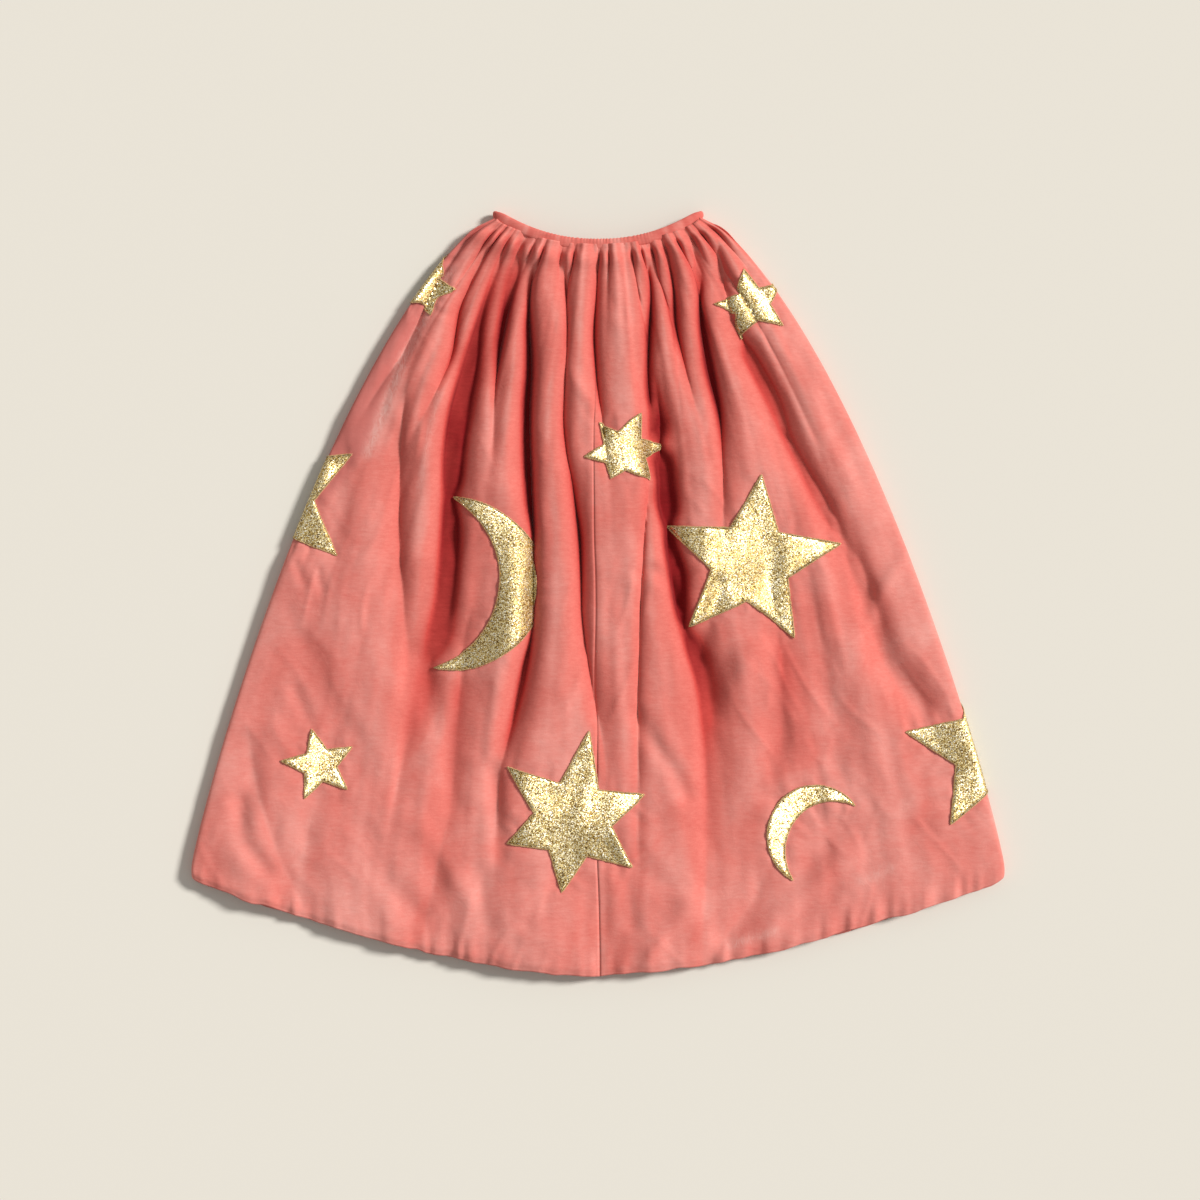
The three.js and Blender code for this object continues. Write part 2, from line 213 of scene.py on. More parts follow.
def foldBody(s, t, y, width):
    side = np.clip(np.abs(s), 0, 1)
    across = s * width / mm
    z = crownHeight(s, t)
    grow = 0.8 + 0.25 * smooth(0.05, 0.3, t) + 1.0 * smooth(0.4, 0.95, t)
    depthNow = crown["deeper"] * (1 - 0.45 * smooth(0.4, 0.9, t)) * (0.35 + 0.65 * smooth(0.01, 0.06, t))
    depthNow = depthNow * (1 - 0.4 * lookUp(stiffShare, s * width, y))
    for down, place, depth, widths in foldLines:
        off = across - glide(t, down, place) * width / mm
        reach = np.where(off < 0, widths[0], widths[1]) * grow
        off = np.sqrt(off * off + 1.2 ** 2)
        z = z - depthNow * glide(t, down, depth) * np.exp(-(off / reach) ** 1.3)
    phase = gathers["count"] * (s + 1) / 2 + gathers["jitter"] * latticeNoise(s * 9 + 20, t * 3, 3)
    lean = 0.5 + 0.5 * latticeNoise(s * 11 + 40, 0 * t, 5)
    fade = np.exp(-(t / (gathers["reach"] * (0.5 + 2.4 * lean ** 2))) ** 1.1)
    pleat = (np.sin(math.pi * phase) ** 2 + 0.004) ** (0.5 * gathers["sharp"])
    start = 0.2 + 0.8 * smooth(0.0075, 0.02, t)
    z = z + gathers["height"] * start * fade * (pleat - 0.7) * (0.65 + 0.5 * lean)
    z = z + gathers["puff"] * pleat * np.exp(-((t - 0.023) / 0.011) ** 2)
    z = z + 2.4 * layeredNoise(s * 8 + 5, t * 1.7, 21, 2) * (1 - side ** 4)
    low = crown["floor"] + 2 * (1 - smooth(0.04, 0.12, t))
    return (np.logaddexp(0, (z - low) * 0.8) / 0.8 + low) * mm


def topEdge(side, dip):
    y = neckline(side * plan["neckTip"], dip)
    for _ in range(6):
        y = 0.5 * y + 0.5 * neckline(side * np.minimum(halfWidth(y), plan["neckTip"] * 1.25), dip)
    return y


# Place down the cape for a place across s and a share t of the length. Past a side fold
# s runs on from 1 to 2, back under the cape to the front opening.
def rowY(s, t):
    side = np.abs(s)
    under = side > 1
    mirrored = np.where(under, np.clip(2 - side, 0, 1), side)
    top = np.where(under, topEdge(mirrored, plan["frontDip"]), topEdge(mirrored, plan["backDip"]))
    top = top - plan["tuck"] + plan["frontRaise"] * smooth(1.0, 1.08, side)
    return top + (hemline(mirrored * plan["halfHem"]) - top) * t


def shareDown(s, y):
    low, high = rowY(s, 0 * y), rowY(s, 0 * y + 1)
    return (low - y) / (low - high)


# Outlines of the appliqués, in flat cloth coordinates.

foil = {"lift": 1.0 * mm, "thick": 0.75 * mm, "grain": 2.3 * mm, "edgeStep": 1.4 * mm,
        "largeStar": 79 * mm, "smallStar": 33 * mm, "largeSixStar": 74 * mm,
        "fiveNotch": 0.45}


def onBack(across, down):
    y = plan["top"] - down * 2 * plan["top"]
    return across * halfWidth(y), y


def onFront(side, across, down):
    y = plan["top"] - down * 2 * plan["top"]
    return side * (plan["openingHalf"] + across * (creaseX(y) - plan["openingHalf"])), y


# pulled gives each tip its own share of the radius, where the cloth under a star is gathered.
def starOutline(tips, place, radius, notch, turn, pulled=None):
    points = []
    for i in range(2 * tips):
        r = radius * (notch if i % 2 else 1)
        if pulled and i % 2 == 0:
            r *= pulled[i // 2]
        angle = math.radians(turn) + i * math.pi / tips
        points.append((place[0] + r * math.cos(angle), place[1] + r * math.sin(angle)))
    return points


def bulge(span, depth, steps):
    radius = (span * span + depth * depth) / (2 * depth)
    half = math.atan2(span, radius - depth)
    angles = [-half + 2 * half * i / steps for i in range(steps + 1)]
    return [(depth - radius + radius * math.cos(a), radius * math.sin(a)) for a in angles]


def moonOutline(place, span, outerDepth, innerDepth, turn):
    points = bulge(span, outerDepth, 60) + bulge(span, innerDepth, 50)[1:-1][::-1]
    c, q = math.cos(math.radians(turn)), math.sin(math.radians(turn))
    return [(place[0] + c * x - q * y, place[1] + q * x + c * y) for x, y in points]


def resample(outline, step):
    points = []
    for (ax, ay), (bx, by) in zip(outline, outline[1:] + outline[:1]):
        count = max(1, round(math.hypot(bx - ax, by - ay) / step))
        points += [(ax + (bx - ax) * i / count, ay + (by - ay) * i / count) for i in range(count)]
    return points


big, small = foil["largeStar"], foil["smallStar"]
five = foil["fiveNotch"]
backShapes = {
    "starShoulderRight": ("star_shoulder_right", starOutline(5, onBack(0.8, 0.124), small, five, 108)),
    "starSmallBack": ("star_small_back",
                      starOutline(6, onBack(0.103, 0.316), small, 0.52, 69, (1.1, 1, 1, 0.8, 1, 1))),
    "moonLarge": ("moon_large", moonOutline(onBack(-0.47, 0.487), 78 * mm, 84.6 * mm, 47.4 * mm, -7.6)),
    "starLargeBack": ("star_large_back", starOutline(5, onBack(0.485, 0.46), big, five, 84)),
    "starSmallHem": ("star_small_hem", starOutline(5, onBack(-0.723, 0.725), small, five, 102)),
    "starLargeHem": ("star_large_hem", starOutline(6, onBack(-0.058, 0.796), foil["largeSixStar"], 0.47, 80,
                                                   (1.1, 1, 0.86, 0.9, 0.9, 0.9))),
    "moonSmallHem": ("moon_small_hem",
                     moonOutline(onBack(0.554, 0.827), 44.4 * mm, 55.7 * mm, 34.3 * mm, 139.5)),
    "starShoulderLeft": ("star_shoulder_left",
                         starOutline(5, onBack(-0.95, 0.101), small, five, 66, (1, 1, 0.88, 0.8, 0.8))),
    "starSideLeft": ("star_side_left", starOutline(5, onBack(-1.11, 0.373), big, five, 28)),
    "starSideRight": ("star_side_right", starOutline(5, onBack(1.034, 0.702), big, five, 170)),
}
frontShapes = {
    "starFrontLeft": ("star_front_left", starOutline(5, onFront(-1, 0.566, 0.716), big, five, 100)),
    "starSmallFrontLeft": ("star_small_front_left",
                           starOutline(5, onFront(-1, 0.579, 0.341), small, five, 75)),
    "moonFrontRight": ("moon_front_right",
                       moonOutline(onFront(1, 0.369, 0.731), 78 * mm, 84.6 * mm, 47.4 * mm, 12)),
    "starSmallFrontRight": ("star_small_front_right",
                            starOutline(6, onFront(1, 0.515, 0.399), small, 0.55, 95)),
}


# Cloth pulled up by the stitching round each appliqué: fine ridges that run out from its edge.
puckers = {"cell": 1.5 * mm, "reach": 11 * mm, "height": 1.15, "ridge": 5.5 * mm, "dip": 0.7,
           "halfSpan": 400 * mm}


def inside(points, outline):
    x, y = np.array(points, float).T
    hit = np.zeros(len(x), bool)
    for (ax, ay), (bx, by) in zip(outline, outline[1:] + outline[:1]):
        crosses = (ay > y) != (by > y)
        slant = (bx - ax) * (y - ay) / ((by - ay) if by != ay else 1e-12) + ax
        hit ^= crosses & (x < slant)
    return hit


def nearestOnOutline(points, rim):
    best = np.full(len(points), 1e9)
    index = np.zeros(len(points), int)
    for i, (x, y) in enumerate(rim):
        gap = (points[:, 0] - x) ** 2 + (points[:, 1] - y) ** 2
        closer = gap < best
        best[closer] = gap[closer]
        index[closer] = i
    return np.sqrt(best), index


def puckerMap():
    span, cell = puckers["halfSpan"], puckers["cell"]
    marks = np.arange(-span, span, cell)
    relief = np.zeros((len(marks), len(marks)))
    stiff = np.zeros_like(relief)
    margin = 3.2 * puckers["reach"]
    for number, (_, outline) in enumerate(backShapes.values()):
        rim = np.array(resample(outline, 2 * mm))
        spanA = [int((v + span) / cell) for v in (rim[:, 0].min() - margin, rim[:, 0].max() + margin)]
        spanY = [int((v + span) / cell) for v in (rim[:, 1].min() - margin, rim[:, 1].max() + margin)]
        rows = slice(max(0, spanA[0]), min(len(marks), spanA[1]))
        cols = slice(max(0, spanY[0]), min(len(marks), spanY[1]))
        a, y = np.meshgrid(marks[rows], marks[cols], indexing="ij")
        points = np.stack([a.ravel(), y.ravel()], 1)
        gap, index = nearestOnOutline(points, rim)
        within = inside(points, outline)
        ridge = latticeNoise(index * 2 * mm / puckers["ridge"], 0.0 * index, 101 + number)
        strength = 0.5 + 0.5 * latticeNoise(points[:, 0] * 22, points[:, 1] * 22, 140 + number)
        out = puckers["height"] * ridge * np.exp(-gap / puckers["reach"]) * smooth(0, 3 * mm, gap)
        out = out * (0.4 + 1.6 * strength) - puckers["dip"] * np.exp(-(gap / (2.4 * mm)) ** 2)
        relief[rows, cols] += np.where(within, 0.0, out).reshape(a.shape)
        near = np.where(within, 1.0, np.exp(-(gap / (13 * mm)) ** 2)).reshape(a.shape)
        stiff[rows, cols] = np.maximum(stiff[rows, cols], near)
    return relief, stiff


# Short creases that lie across the long folds: the line of each in mm, its depth and its half width.
creases = [
    ([(38, 16), (50, 21), (66, 8), (73, -8)], 4.5, 6),
    ([(36, -112), (50, -136), (68, -163), (77, -184)], 3.4, 8),
    ([(-94, -160), (-88, -207), (-86, -238)], 3.6, 9), ([(-322, -190), (-316, -227), (-300, -250)], 4.2, 9),
    ([(-271, -90), (-258, -120)], 2.2, 7), ([(236, -2), (256, -65), (292, -100)], 5.0, 14),
    ([(113, -312), (174, -266), (217, -214)], 3.2, 12), ([(172, -298), (246, -240), (292, -214)], 3.0, 11),
    ([(-212, -212), (-190, -262), (-160, -292)], 3.2, 12), ([(110, 8), (100, -30), (92, -60)], 3.4, 8),
    ([(-270, 26), (-262, 8)], 1.6, 4), ([(-250, 22), (-246, 2)], 1.4, 4), ([(96, -62), (104, -110)], 2.6, 9),
    ([(-160, -60), (-140, -130), (-128, -190)], 3.0, 12), ([(12, -232), (24, -262), (30, -300)], 2.4, 8),
    ([(200, 62), (214, 20), (222, -30)], 3.0, 10), ([(-110, -250), (-96, -300)], 2.4, 9),
    ([(150, -80), (160, -130), (150, -180)], 2.6, 13), ([(-40, -262), (-60, -300)], 2.0, 8),
    ([(-236, 150), (-228, 90), (-236, 40)], 2.0, 12), ([(150, 150), (176, 138)], 1.5, 4),
]


def creaseMap(relief):
    marks = np.arange(-puckers["halfSpan"], puckers["halfSpan"], puckers["cell"]) / mm
    a, y = np.meshgrid(marks, marks, indexing="ij")
    for line, depth, width in creases:
        gap = np.full_like(a, 1e9)
        for (ax, ay), (bx, by) in zip(line, line[1:]):
            run = ((a - ax) * (bx - ax) + (y - ay) * (by - ay)) / ((bx - ax) ** 2 + (by - ay) ** 2)
            run = np.clip(run, 0, 1)
            gap = np.minimum(gap, np.hypot(a - ax - run * (bx - ax), y - ay - run * (by - ay)))
        relief -= depth * (np.exp(-(gap / width) ** 2) - 0.45 * np.exp(-(gap / (2.4 * width)) ** 2))


puckerRelief, stiffShare = puckerMap()
creaseMap(puckerRelief)


def lookUp(table, a, y):
    i = np.clip((a + puckers["halfSpan"]) / puckers["cell"], 0, len(table) - 1.001)
    j = np.clip((y + puckers["halfSpan"]) / puckers["cell"], 0, len(table) - 1.001)
    i0, j0 = i.astype(int), j.astype(int)
    u, v = i - i0, j - j0
    low = table[i0, j0] * (1 - u) + table[i0 + 1, j0] * u
    high = table[i0, j0 + 1] * (1 - u) + table[i0 + 1, j0 + 1] * u
    return low * (1 - v) + high * v


# Drag lines: soft ridges that cross the folds at a slant, in patches.
dragLines = [(58, 170, 62, 3.0, 201), (-60, 150, 56, 2.6, 211), (74, 70, 20, 0.9, 221),
             (-52, 60, 18, 0.7, 231), (16, 40, 13, 0.4, 241)]


def foldDetail(s, t, y, width):
    side = np.clip(np.abs(s), 0, 1)
    a = s * width
    stiff = lookUp(stiffShare, a, y)
    z = 0.8 * layeredNoise(s * 22 + 13, t * 5 + 2, 31, 2) * (1 - side ** 6)
    z = z + 0.25 * layeredNoise(s * 26 + 3, t * 30 + 2, 35, 2)
    for turn, run, wave, height, seed in dragLines:
        c, q = math.cos(math.radians(turn)), math.sin(math.radians(turn))
        bend = 9 * latticeNoise(a / 0.07, y / 0.07, seed + 5)
        u = (a * c + y * q) / mm
        v = (-a * q + y * c) / mm + bend
        patch = smooth(-0.1, 0.5, latticeNoise(a / 0.075 + 9, y / 0.075 + 9, seed + 3))
        ridge = np.exp(-(latticeNoise(u / run, v / wave, seed) / 0.36) ** 2)
        z = z + height * ridge * patch * smooth(0.04, 0.2, t)
    z = z * (1 - 0.75 * stiff) * (1 - 0.5 * side ** 8)
    return (z + lookUp(puckerRelief, a, y)) * mm


rest = {"under": 2.6, "underWave": 0.3, "push": 2.6, "steepest": 1.25, "drift": 3.5, "hemCurl": 2.0,
        "liningFollows": 0.2, "liningDrop": 2.1, "liningGap": 2.3, "liningRise": 1.5, "liningInset": 1.8}


# A point of the cape's outer face, or with inner the outer face of its lining, which hangs
# straighter and follows the folds only in part.
def surface(s, t, inner=False):
    s, t = np.broadcast_arrays(np.asarray(s, float), np.asarray(t, float))
    y = rowY(s, t)
    w = halfWidth(y)
    r = plan["foldRadius"]
    side = np.abs(s)
    p = (1 - side) * w
    away = np.sqrt(p * p + r * r)
    x = w - (away - r) * w / (np.sqrt(w * w + r * r) - r)
    above = 0.5 * (1 + p / away)
    zUnder = (rest["under"] + rest["underWave"] * layeredNoise(s * 7 + 50, t * 6, 61, 2) / 1.5) * mm
    onTop = np.clip(s, -1, 1)
    zBack = foldBody(onTop, t, y, w) + foldDetail(onTop, t, y, w)
    if inner:
        low = crown["floor"] * mm
        hanging = low + rest["liningFollows"] * (zBack - low) - rest["liningDrop"] * mm
        zBack = np.minimum(hanging, zBack - rest["liningGap"] * mm)
        zUnder = zUnder + rest["liningRise"] * mm
        x = x - rest["liningInset"] * mm * 4 * above * (1 - above)
    z = zUnder + (zBack - zUnder) * above
    ds = 2.0 * mm / w
    ahead = foldBody(np.clip(s + ds, -1, 1), t, y, w)
    behind = foldBody(np.clip(s - ds, -1, 1), t, y, w)
    slope = rest["steepest"] * np.tanh((ahead - behind) / (4 * mm) / rest["steepest"])
    push = -rest["push"] * mm * slope * above * smooth(0, 14 * mm, np.abs(p)) * smooth(0, 0.06, t)
    push = push * (not inner)
    sway = layeredNoise(s * 3 + 9, t * 4, 71, 2) * (1 - np.clip(side, 0, 1) ** 2) * smooth(0, 0.15, t)
    drift = rest["drift"] * mm * sway * above
    edge = smooth(0.985, 1, t)
    z = z - rest["hemCurl"] * mm * edge * edge * above
    nearHem = smooth(0.95, 1, t)
    pucker = layeredNoise(s * 34, t * 5, 81, 2) * (0.4 + smooth(-0.3, 0.6, latticeNoise(s * 6, 0 * t, 87)))
    z = z + 1.5 * mm * nearHem * pucker * (1.3 * above - 0.3)
    y = y + 1.1 * mm * nearHem * layeredNoise(s * 20 + 3, 0 * t, 83, 2)
    corner = np.hypot(p / (9 * mm), (1 - t) * 60)
    x = x - 1.4 * mm * np.exp(-corner ** 2)
    y = y + 1.6 * mm * np.exp(-corner ** 2)
    x = x - 7.5 * mm * np.exp(-(t / 0.013) ** 2) * np.exp(-(p / (16 * mm)) ** 2)
    return np.stack([np.sign(s) * x + push + drift, y, np.maximum(z, 0.7 * mm)], -1)


def surfaceNormal(s, t, inner=False):
    e = 1.2e-3
    across = surface(s + e, t, inner) - surface(s - e, t, inner)
    down = surface(s, t + e, inner) - surface(s, t - e, inner)
    n = np.cross(down, across)
    return n / (np.linalg.norm(n, axis=-1, keepdims=True) + 1e-12)


def linkPiece(name, mesh):
    mesh.shade_smooth()
    piece = bpy.data.objects.new(name, mesh)
    bpy.context.scene.collection.objects.link(piece)
    return piece


def gridPiece(name, points, turned):
    rows, cols = points.shape[:2]
    index = np.arange(rows * cols).reshape(rows, cols)
    a, b, c, d = index[:-1, :-1], index[:-1, 1:], index[1:, 1:], index[1:, :-1]
    order = (a, b, c, d) if turned else (a, d, c, b)
    quads = np.stack(order, -1).reshape(-1, 4)
    mesh = bpy.data.meshes.new(name)
    mesh.from_pydata(points.reshape(-1, 3).tolist(), [], quads.tolist())
    return linkPiece(name, mesh)


def thicken(piece, thickness, offset=-1):
    wall = piece.modifiers.new("thickness", "SOLIDIFY")
    wall.thickness = thickness
    wall.offset = offset


# The velvet and the lining.

cloth = {"rows": 258, "crowding": 0.42, "backColumns": 148, "foldColumns": 11, "stripColumns": 26,
         "flapColumns": 40, "bendColumns": 22, "velvet": 1.3 * mm, "lining": 0.45 * mm, "liningCoarse": 1.7,
         "seamDip": 0.3 * mm, "seamWidth": 1.8 * mm, "liningHem": 0.993, "bendWidth": 26 * mm}


def creaseShare(t, reach):
    s = np.full_like(t, 1.2)
    for _ in range(6):
        y = rowY(s, t)
        x = creaseX(y) + (plan["openingHalf"] - creaseX(y)) * reach
        s = 2 - x / halfWidth(y)
    return s


def clothGrid(coarse, lastRow):
    even = np.linspace(0, 1, int(cloth["rows"] / coarse))
    rows = lastRow * (even - cloth["crowding"] * np.sin(2 * math.pi * even) / (2 * math.pi))
    back = np.linspace(0, 0.955, int(cloth["backColumns"] / coarse))
    bend = np.linspace(0.955, 1, cloth["foldColumns"] + 1)[1:]
    across = np.repeat(np.concatenate([back, bend])[None, :], len(rows), 0)
    inStrip = np.linspace(0, 1, int(cloth["stripColumns"] / coarse) + 1)[1:] ** 1.3
    strip = 1 + (creaseShare(rows, 0.0)[:, None] - 1) * inStrip[None, :]
    main = np.concatenate([across, strip], 1)
    bend = cloth["bendWidth"] / (creaseX(rowY(1.2, rows)) - plan["openingHalf"])
    inBend = [bend * k / cloth["bendColumns"] for k in range(cloth["bendColumns"] + 1)]
    beyond = np.linspace(0, 1, int(cloth["flapColumns"] / coarse) + 1)[1:]
    reaches = inBend + [bend + (1 - bend) * share for share in beyond]
    flap = np.stack([creaseShare(rows, reach) for reach in reaches], 1)
    return main, flap, rows[:, None]


# Marks on the pile, in mm across the opened back and up from its middle. A stroke is crushed pile painted
# pale as the sheen it catches: both ends of a stroke, its half width and its strength.
# The dusk line, with its bottom and its edge, bounds a darker tone over the upper left of the back. The
# hollow start and full depths, in mm below the crown, and the strength after them set the painted shade in
# the fold valleys.
napAndShade = {"strokes": [((-131, 292), (-178, 205), 7, 1.0), ((-172, 212), (-205, 128), 6, 0.9),
                   ((118, -320), (158, -306), 5, 0.5), ((236, -262), (262, -250), 5, 0.45),
                   ((-158, 96), (-140, 180), 3, 0.35)],
       "duskLine": [(337, -98), (211, -178), (128, -207), (20, -290)], "duskBottom": 110, "duskEdge": 7,
       "hollowStart": 6, "hollowFull": 17, "paintedShade": 0.9}


def strokeShare(a, y, start, end, width):
    (ax, ay), (bx, by) = start, end
    run = np.clip(((a - ax) * (bx - ax) + (y - ay) * (by - ay)) / ((bx - ax) ** 2 + (by - ay) ** 2), 0, 1)
    gap = np.hypot(a - ax - run * (bx - ax), y - ay - run * (by - ay))
    return np.exp(-(gap / width) ** 2)


def markShadeAndPile(piece, s, t):
    y = rowY(s, t)
    w = halfWidth(y)
    a = s * w / mm
    onTop = np.clip(s, -1, 1)
    # Painted shade: depth below the crown and steepness across both raise the level, which the velvet's
    # colour ramp paints darker. Fold tops keep the low end, which it paints as a lighter highlight. Past the
    # side folds the level stays at its lowest.
    low = (crownHeight(onTop, t) - foldBody(onTop, t, y, w) / mm) * (np.abs(s) < 1)
    steep = np.abs(np.gradient(foldBody(onTop, t, y, w), axis=1) / (np.gradient(a, axis=1) * mm + 1e-9))
    shade = 0.25 * np.clip(steep, 0, 1.5) + smooth(napAndShade["hollowStart"], napAndShade["hollowFull"], low)
    paintedShade = 0.12 + napAndShade["paintedShade"] * np.clip(shade, 0, 1) * (np.abs(s) < 1)
    # Crushed pile along the strokes, painted pale as the sheen it catches.
    crushedSheen = np.zeros_like(a)
    for start, end, width, strength in napAndShade["strokes"]:
        crushedSheen = np.maximum(crushedSheen, strength * strokeShare(a, y / mm, start, end, width))
    # A darker tone over the upper left of the back, beyond the dusk line and above the middle.
    lineY, lineA = (np.array(c, float) for c in zip(*napAndShade["duskLine"][::-1]))
    beyond = np.interp(y / mm, lineY, lineA) - a
    dusk = 0.7 * smooth(-napAndShade["duskEdge"], napAndShade["duskEdge"], beyond) * smooth(20, napAndShade["duskBottom"], y / mm)
    for name, values in (("paintedShade", paintedShade), ("crushedSheen", crushedSheen), ("dusk", dusk * (s > -1))):
        mark = piece.data.attributes.new(name, "FLOAT", "POINT")
        mark.data.foreach_set("value", values.astype(np.float32).ravel())


def makeVelvet(side, word):
    pieces = []
    main, flap, t = clothGrid(1, 1)
    for part, s in (("", main), ("Front", flap)):
        points = surface(side * s, t)
        gap = np.abs(s) * halfWidth(rowY(s, t * np.ones_like(s)))
        points[..., 2] -= cloth["seamDip"] * np.exp(-(gap / cloth["seamWidth"]) ** 2)
        piece = gridPiece("velvet" + word + part, points, side < 0)
        markShadeAndPile(piece, side * s, t * np.ones_like(s))
        thicken(piece, cloth["velvet"])
        pieces.append(piece)
    return pieces


def makeLining(side, word):
    pieces = []
    main, flap, t = clothGrid(cloth["liningCoarse"], cloth["liningHem"])
    for part, s in (("", main), ("Front", flap)):
        s = side * s
        piece = gridPiece("lining" + word + part, surface(s, t, True), side < 0)
        thicken(piece, cloth["lining"])
        pieces.append(piece)
    return pieces


velvetRight, velvetRightFront = makeVelvet(1, "Right")
velvetLeft, velvetLeftFront = makeVelvet(-1, "Left")
liningRight, liningRightFront = makeLining(1, "Right")
liningLeft, liningLeftFront = makeLining(-1, "Left")
print("velvet and lining made")

# The neckband and the elastic inside it.

band = {"width": 10 * mm, "thick": 5.0 * mm, "ruche": 0.5 * mm, "ruchePitch": 3.3 * mm,
        "foldRadius": 5.5 * mm, "backHigh": 17.5 * mm, "tipLength": 6.5 * mm, "tipNarrow": 0.34,
        "rim": 10.0 * mm, "front": 3.4 * mm, "section": 20, "steps": 420,
        "elasticWidth": 5 * mm, "elasticThick": 1.6 * mm, "elasticEnd": 0.9}


def bandLine(s):
    side = np.abs(s)
    tip = plan["neckTip"] + 1.2 * mm
    p = (1 - side) * tip
    r = band["foldRadius"]
    away = np.sqrt(p * p + r * r)
    x = tip - (away - r) * tip / (np.sqrt(tip * tip + r * r) - r)
    above = 0.5 * (1 + p / away)
    dip = plan["frontDip"] + (plan["backDip"] - plan["frontDip"]) * smooth(-0.06, 0.06, 1 - side)
    y = neckline(x, dip) - band["width"] / 2
    high = band["rim"] + (band["backHigh"] - band["rim"]) * (1 - np.clip(side, 0, 1) ** 3)
    z = band["front"] + (high - band["front"]) * above
    return np.stack([np.sign(s) * x, y, z], -1)


def sweptPiece(name, s, width, thick, ruche):
    centre = bandLine(s)
    along = np.gradient(centre, axis=0)
    along /= np.linalg.norm(along, axis=1, keepdims=True)
    down = np.array([0, -1, 0]) - along * (along @ np.array([0, -1, 0]))[:, None]
    down /= np.linalg.norm(down, axis=1, keepdims=True)
    out = np.cross(down, along)
    path = np.concatenate([[0], np.cumsum(np.linalg.norm(np.diff(centre, axis=0), axis=1))])
    rings = []
    inner = 1 - smooth(0.35, 0.68, np.abs(s))
    coarse = 0.55 * latticeNoise(path * 60, 0 * path + 8, 95) ** 2
    ruching = inner * (0.45 + coarse + 0.3 * latticeNoise(path * 150, 0 * path, 97))
    tip = np.exp(-((np.abs(s) - 1) * plan["neckTip"] / band["tipLength"]) ** 2)
    narrow = 1 - band["tipNarrow"] * tip
    for k in range(band["section"]):
        angle = 2 * math.pi * k / band["section"]
        c, q = math.cos(angle), math.sin(angle)
        w = width / 2 * np.sign(c) * abs(c) ** 0.75
        h = thick / 2 * np.sign(q) * abs(q) ** 0.8
        shift = 4.5 * latticeNoise(path * 120, 0 * path + 3, 91)
        wave = np.sin(2 * math.pi * path / band["ruchePitch"] + shift)
        crest = ruche * wave * (0.25 + 0.75 * max(0, -c)) * ruching
        lump = 0.35 * mm * latticeNoise(path * 90, 0 * path + k * 0.25, 93) * (ruche > 0)
        rings.append(centre + down * (w * narrow)[:, None] * (1 + crest / width * 1.6)[:, None]
                     + out * (h * (1 + crest / thick) + lump)[:, None])
    grid = np.stack(rings, 1)
    count, around = grid.shape[:2]
    index = np.arange(count * around).reshape(count, around)
    nextIndex = np.roll(index, -1, axis=1)
    quads = np.stack([index[:-1], nextIndex[:-1], nextIndex[1:], index[1:]], -1).reshape(-1, 4).tolist()
    verts = grid.reshape(-1, 3).tolist()
    quads.append(index[0][::-1].tolist())
    quads.append(index[-1].tolist())
    mesh = bpy.data.meshes.new(name)
    mesh.from_pydata(verts, [], quads)
    # The band's level on the velvet's painted shade ramp: between the pile's own colour and the painted shade
    # of steep sides, varying along the band.
    shade = 0.24 + 0.12 * latticeNoise(path * 200, 0 * path, 99)[:, None] + 0 * grid[..., 0]
    mark = mesh.attributes.new("paintedShade", "FLOAT", "POINT")
    mark.data.foreach_set("value", shade.astype(np.float32).ravel())
    return linkPiece(name, mesh)


bandCrease = 1 + plan["creaseNeckInset"] / plan["neckTip"]
bandEnd = 2 - plan["openingHalf"] / plan["neckTip"]
neckbandBack = sweptPiece("neckbandBack", np.linspace(-bandCrease, bandCrease, band["steps"]),
                          band["width"], band["thick"], band["ruche"])
neckbandRight = sweptPiece("neckbandRight", np.linspace(bandCrease, bandEnd, band["steps"] // 2),
                           band["width"], band["thick"], band["ruche"] * 0.6)
neckbandLeft = sweptPiece("neckbandLeft", np.linspace(-bandEnd, -bandCrease, band["steps"] // 2),
                          band["width"], band["thick"], band["ruche"] * 0.6)
elasticSpan = np.linspace(-band["elasticEnd"], band["elasticEnd"], 120)
neckElastic = sweptPiece("neckElastic", elasticSpan, band["elasticWidth"], band["elasticThick"], 0)
print("neckband made")

# The appliqués, laid on the cloth.

# Flat cloth coordinates, in metres across the opened cape, to a place on the cape. A front's
# coordinates are those of its own plan, seen from above.
def toCloth(points, front):
    a, y = np.array(points, float).T
    w = halfWidth(y)
    s = np.sign(a) * (2 - np.abs(a) / w) if front else a / w
    return s, shareDown(s, y)


def onCloth(points, front, lift, inner=False):
    s, t = toCloth(points, front)
    return surface(s, t, inner) + surfaceNormal(s, t, inner) * lift


def flatPiece(name, outline, front, lift, thick, grain, inner=False):
    rim = resample(outline, foil["edgeStep"])
    xs, ys = zip(*rim)
    gx, gy = np.meshgrid(np.arange(min(xs), max(xs), grain), np.arange(min(ys), max(ys), grain))
    fill = np.stack([gx.ravel(), gy.ravel()], 1)
    fill = fill[inside(fill, rim)]
    gaps = np.linalg.norm(fill[:, None, :] - np.array(rim)[None, :, :], axis=2).min(1)
    fill = fill[gaps > grain * 0.45]
    verts = [Vector(p) for p in rim] + [Vector(p) for p in fill.tolist()]
    flat, _, faces, _, _, _ = delaunay_2d_cdt(verts, [], [list(range(len(rim)))], 1, 1e-7)
    flat = [(v[0], v[1]) for v in flat]
    if front:
        faces = [f[::-1] for f in faces]
    mesh = bpy.data.meshes.new(name)
    mesh.from_pydata(onCloth(flat, front, lift, inner).tolist(), [], faces)
    piece = linkPiece(name, mesh)
    thicken(piece, thick)
    return piece


appliques = []
for name, (node, outline) in list(backShapes.items()) + list(frontShapes.items()):
    front = name in frontShapes
    piece = flatPiece(name, outline, front, foil["lift"], foil["thick"], foil["grain"])
    appliques.append((piece, node, outline, front))
print("appliques made")

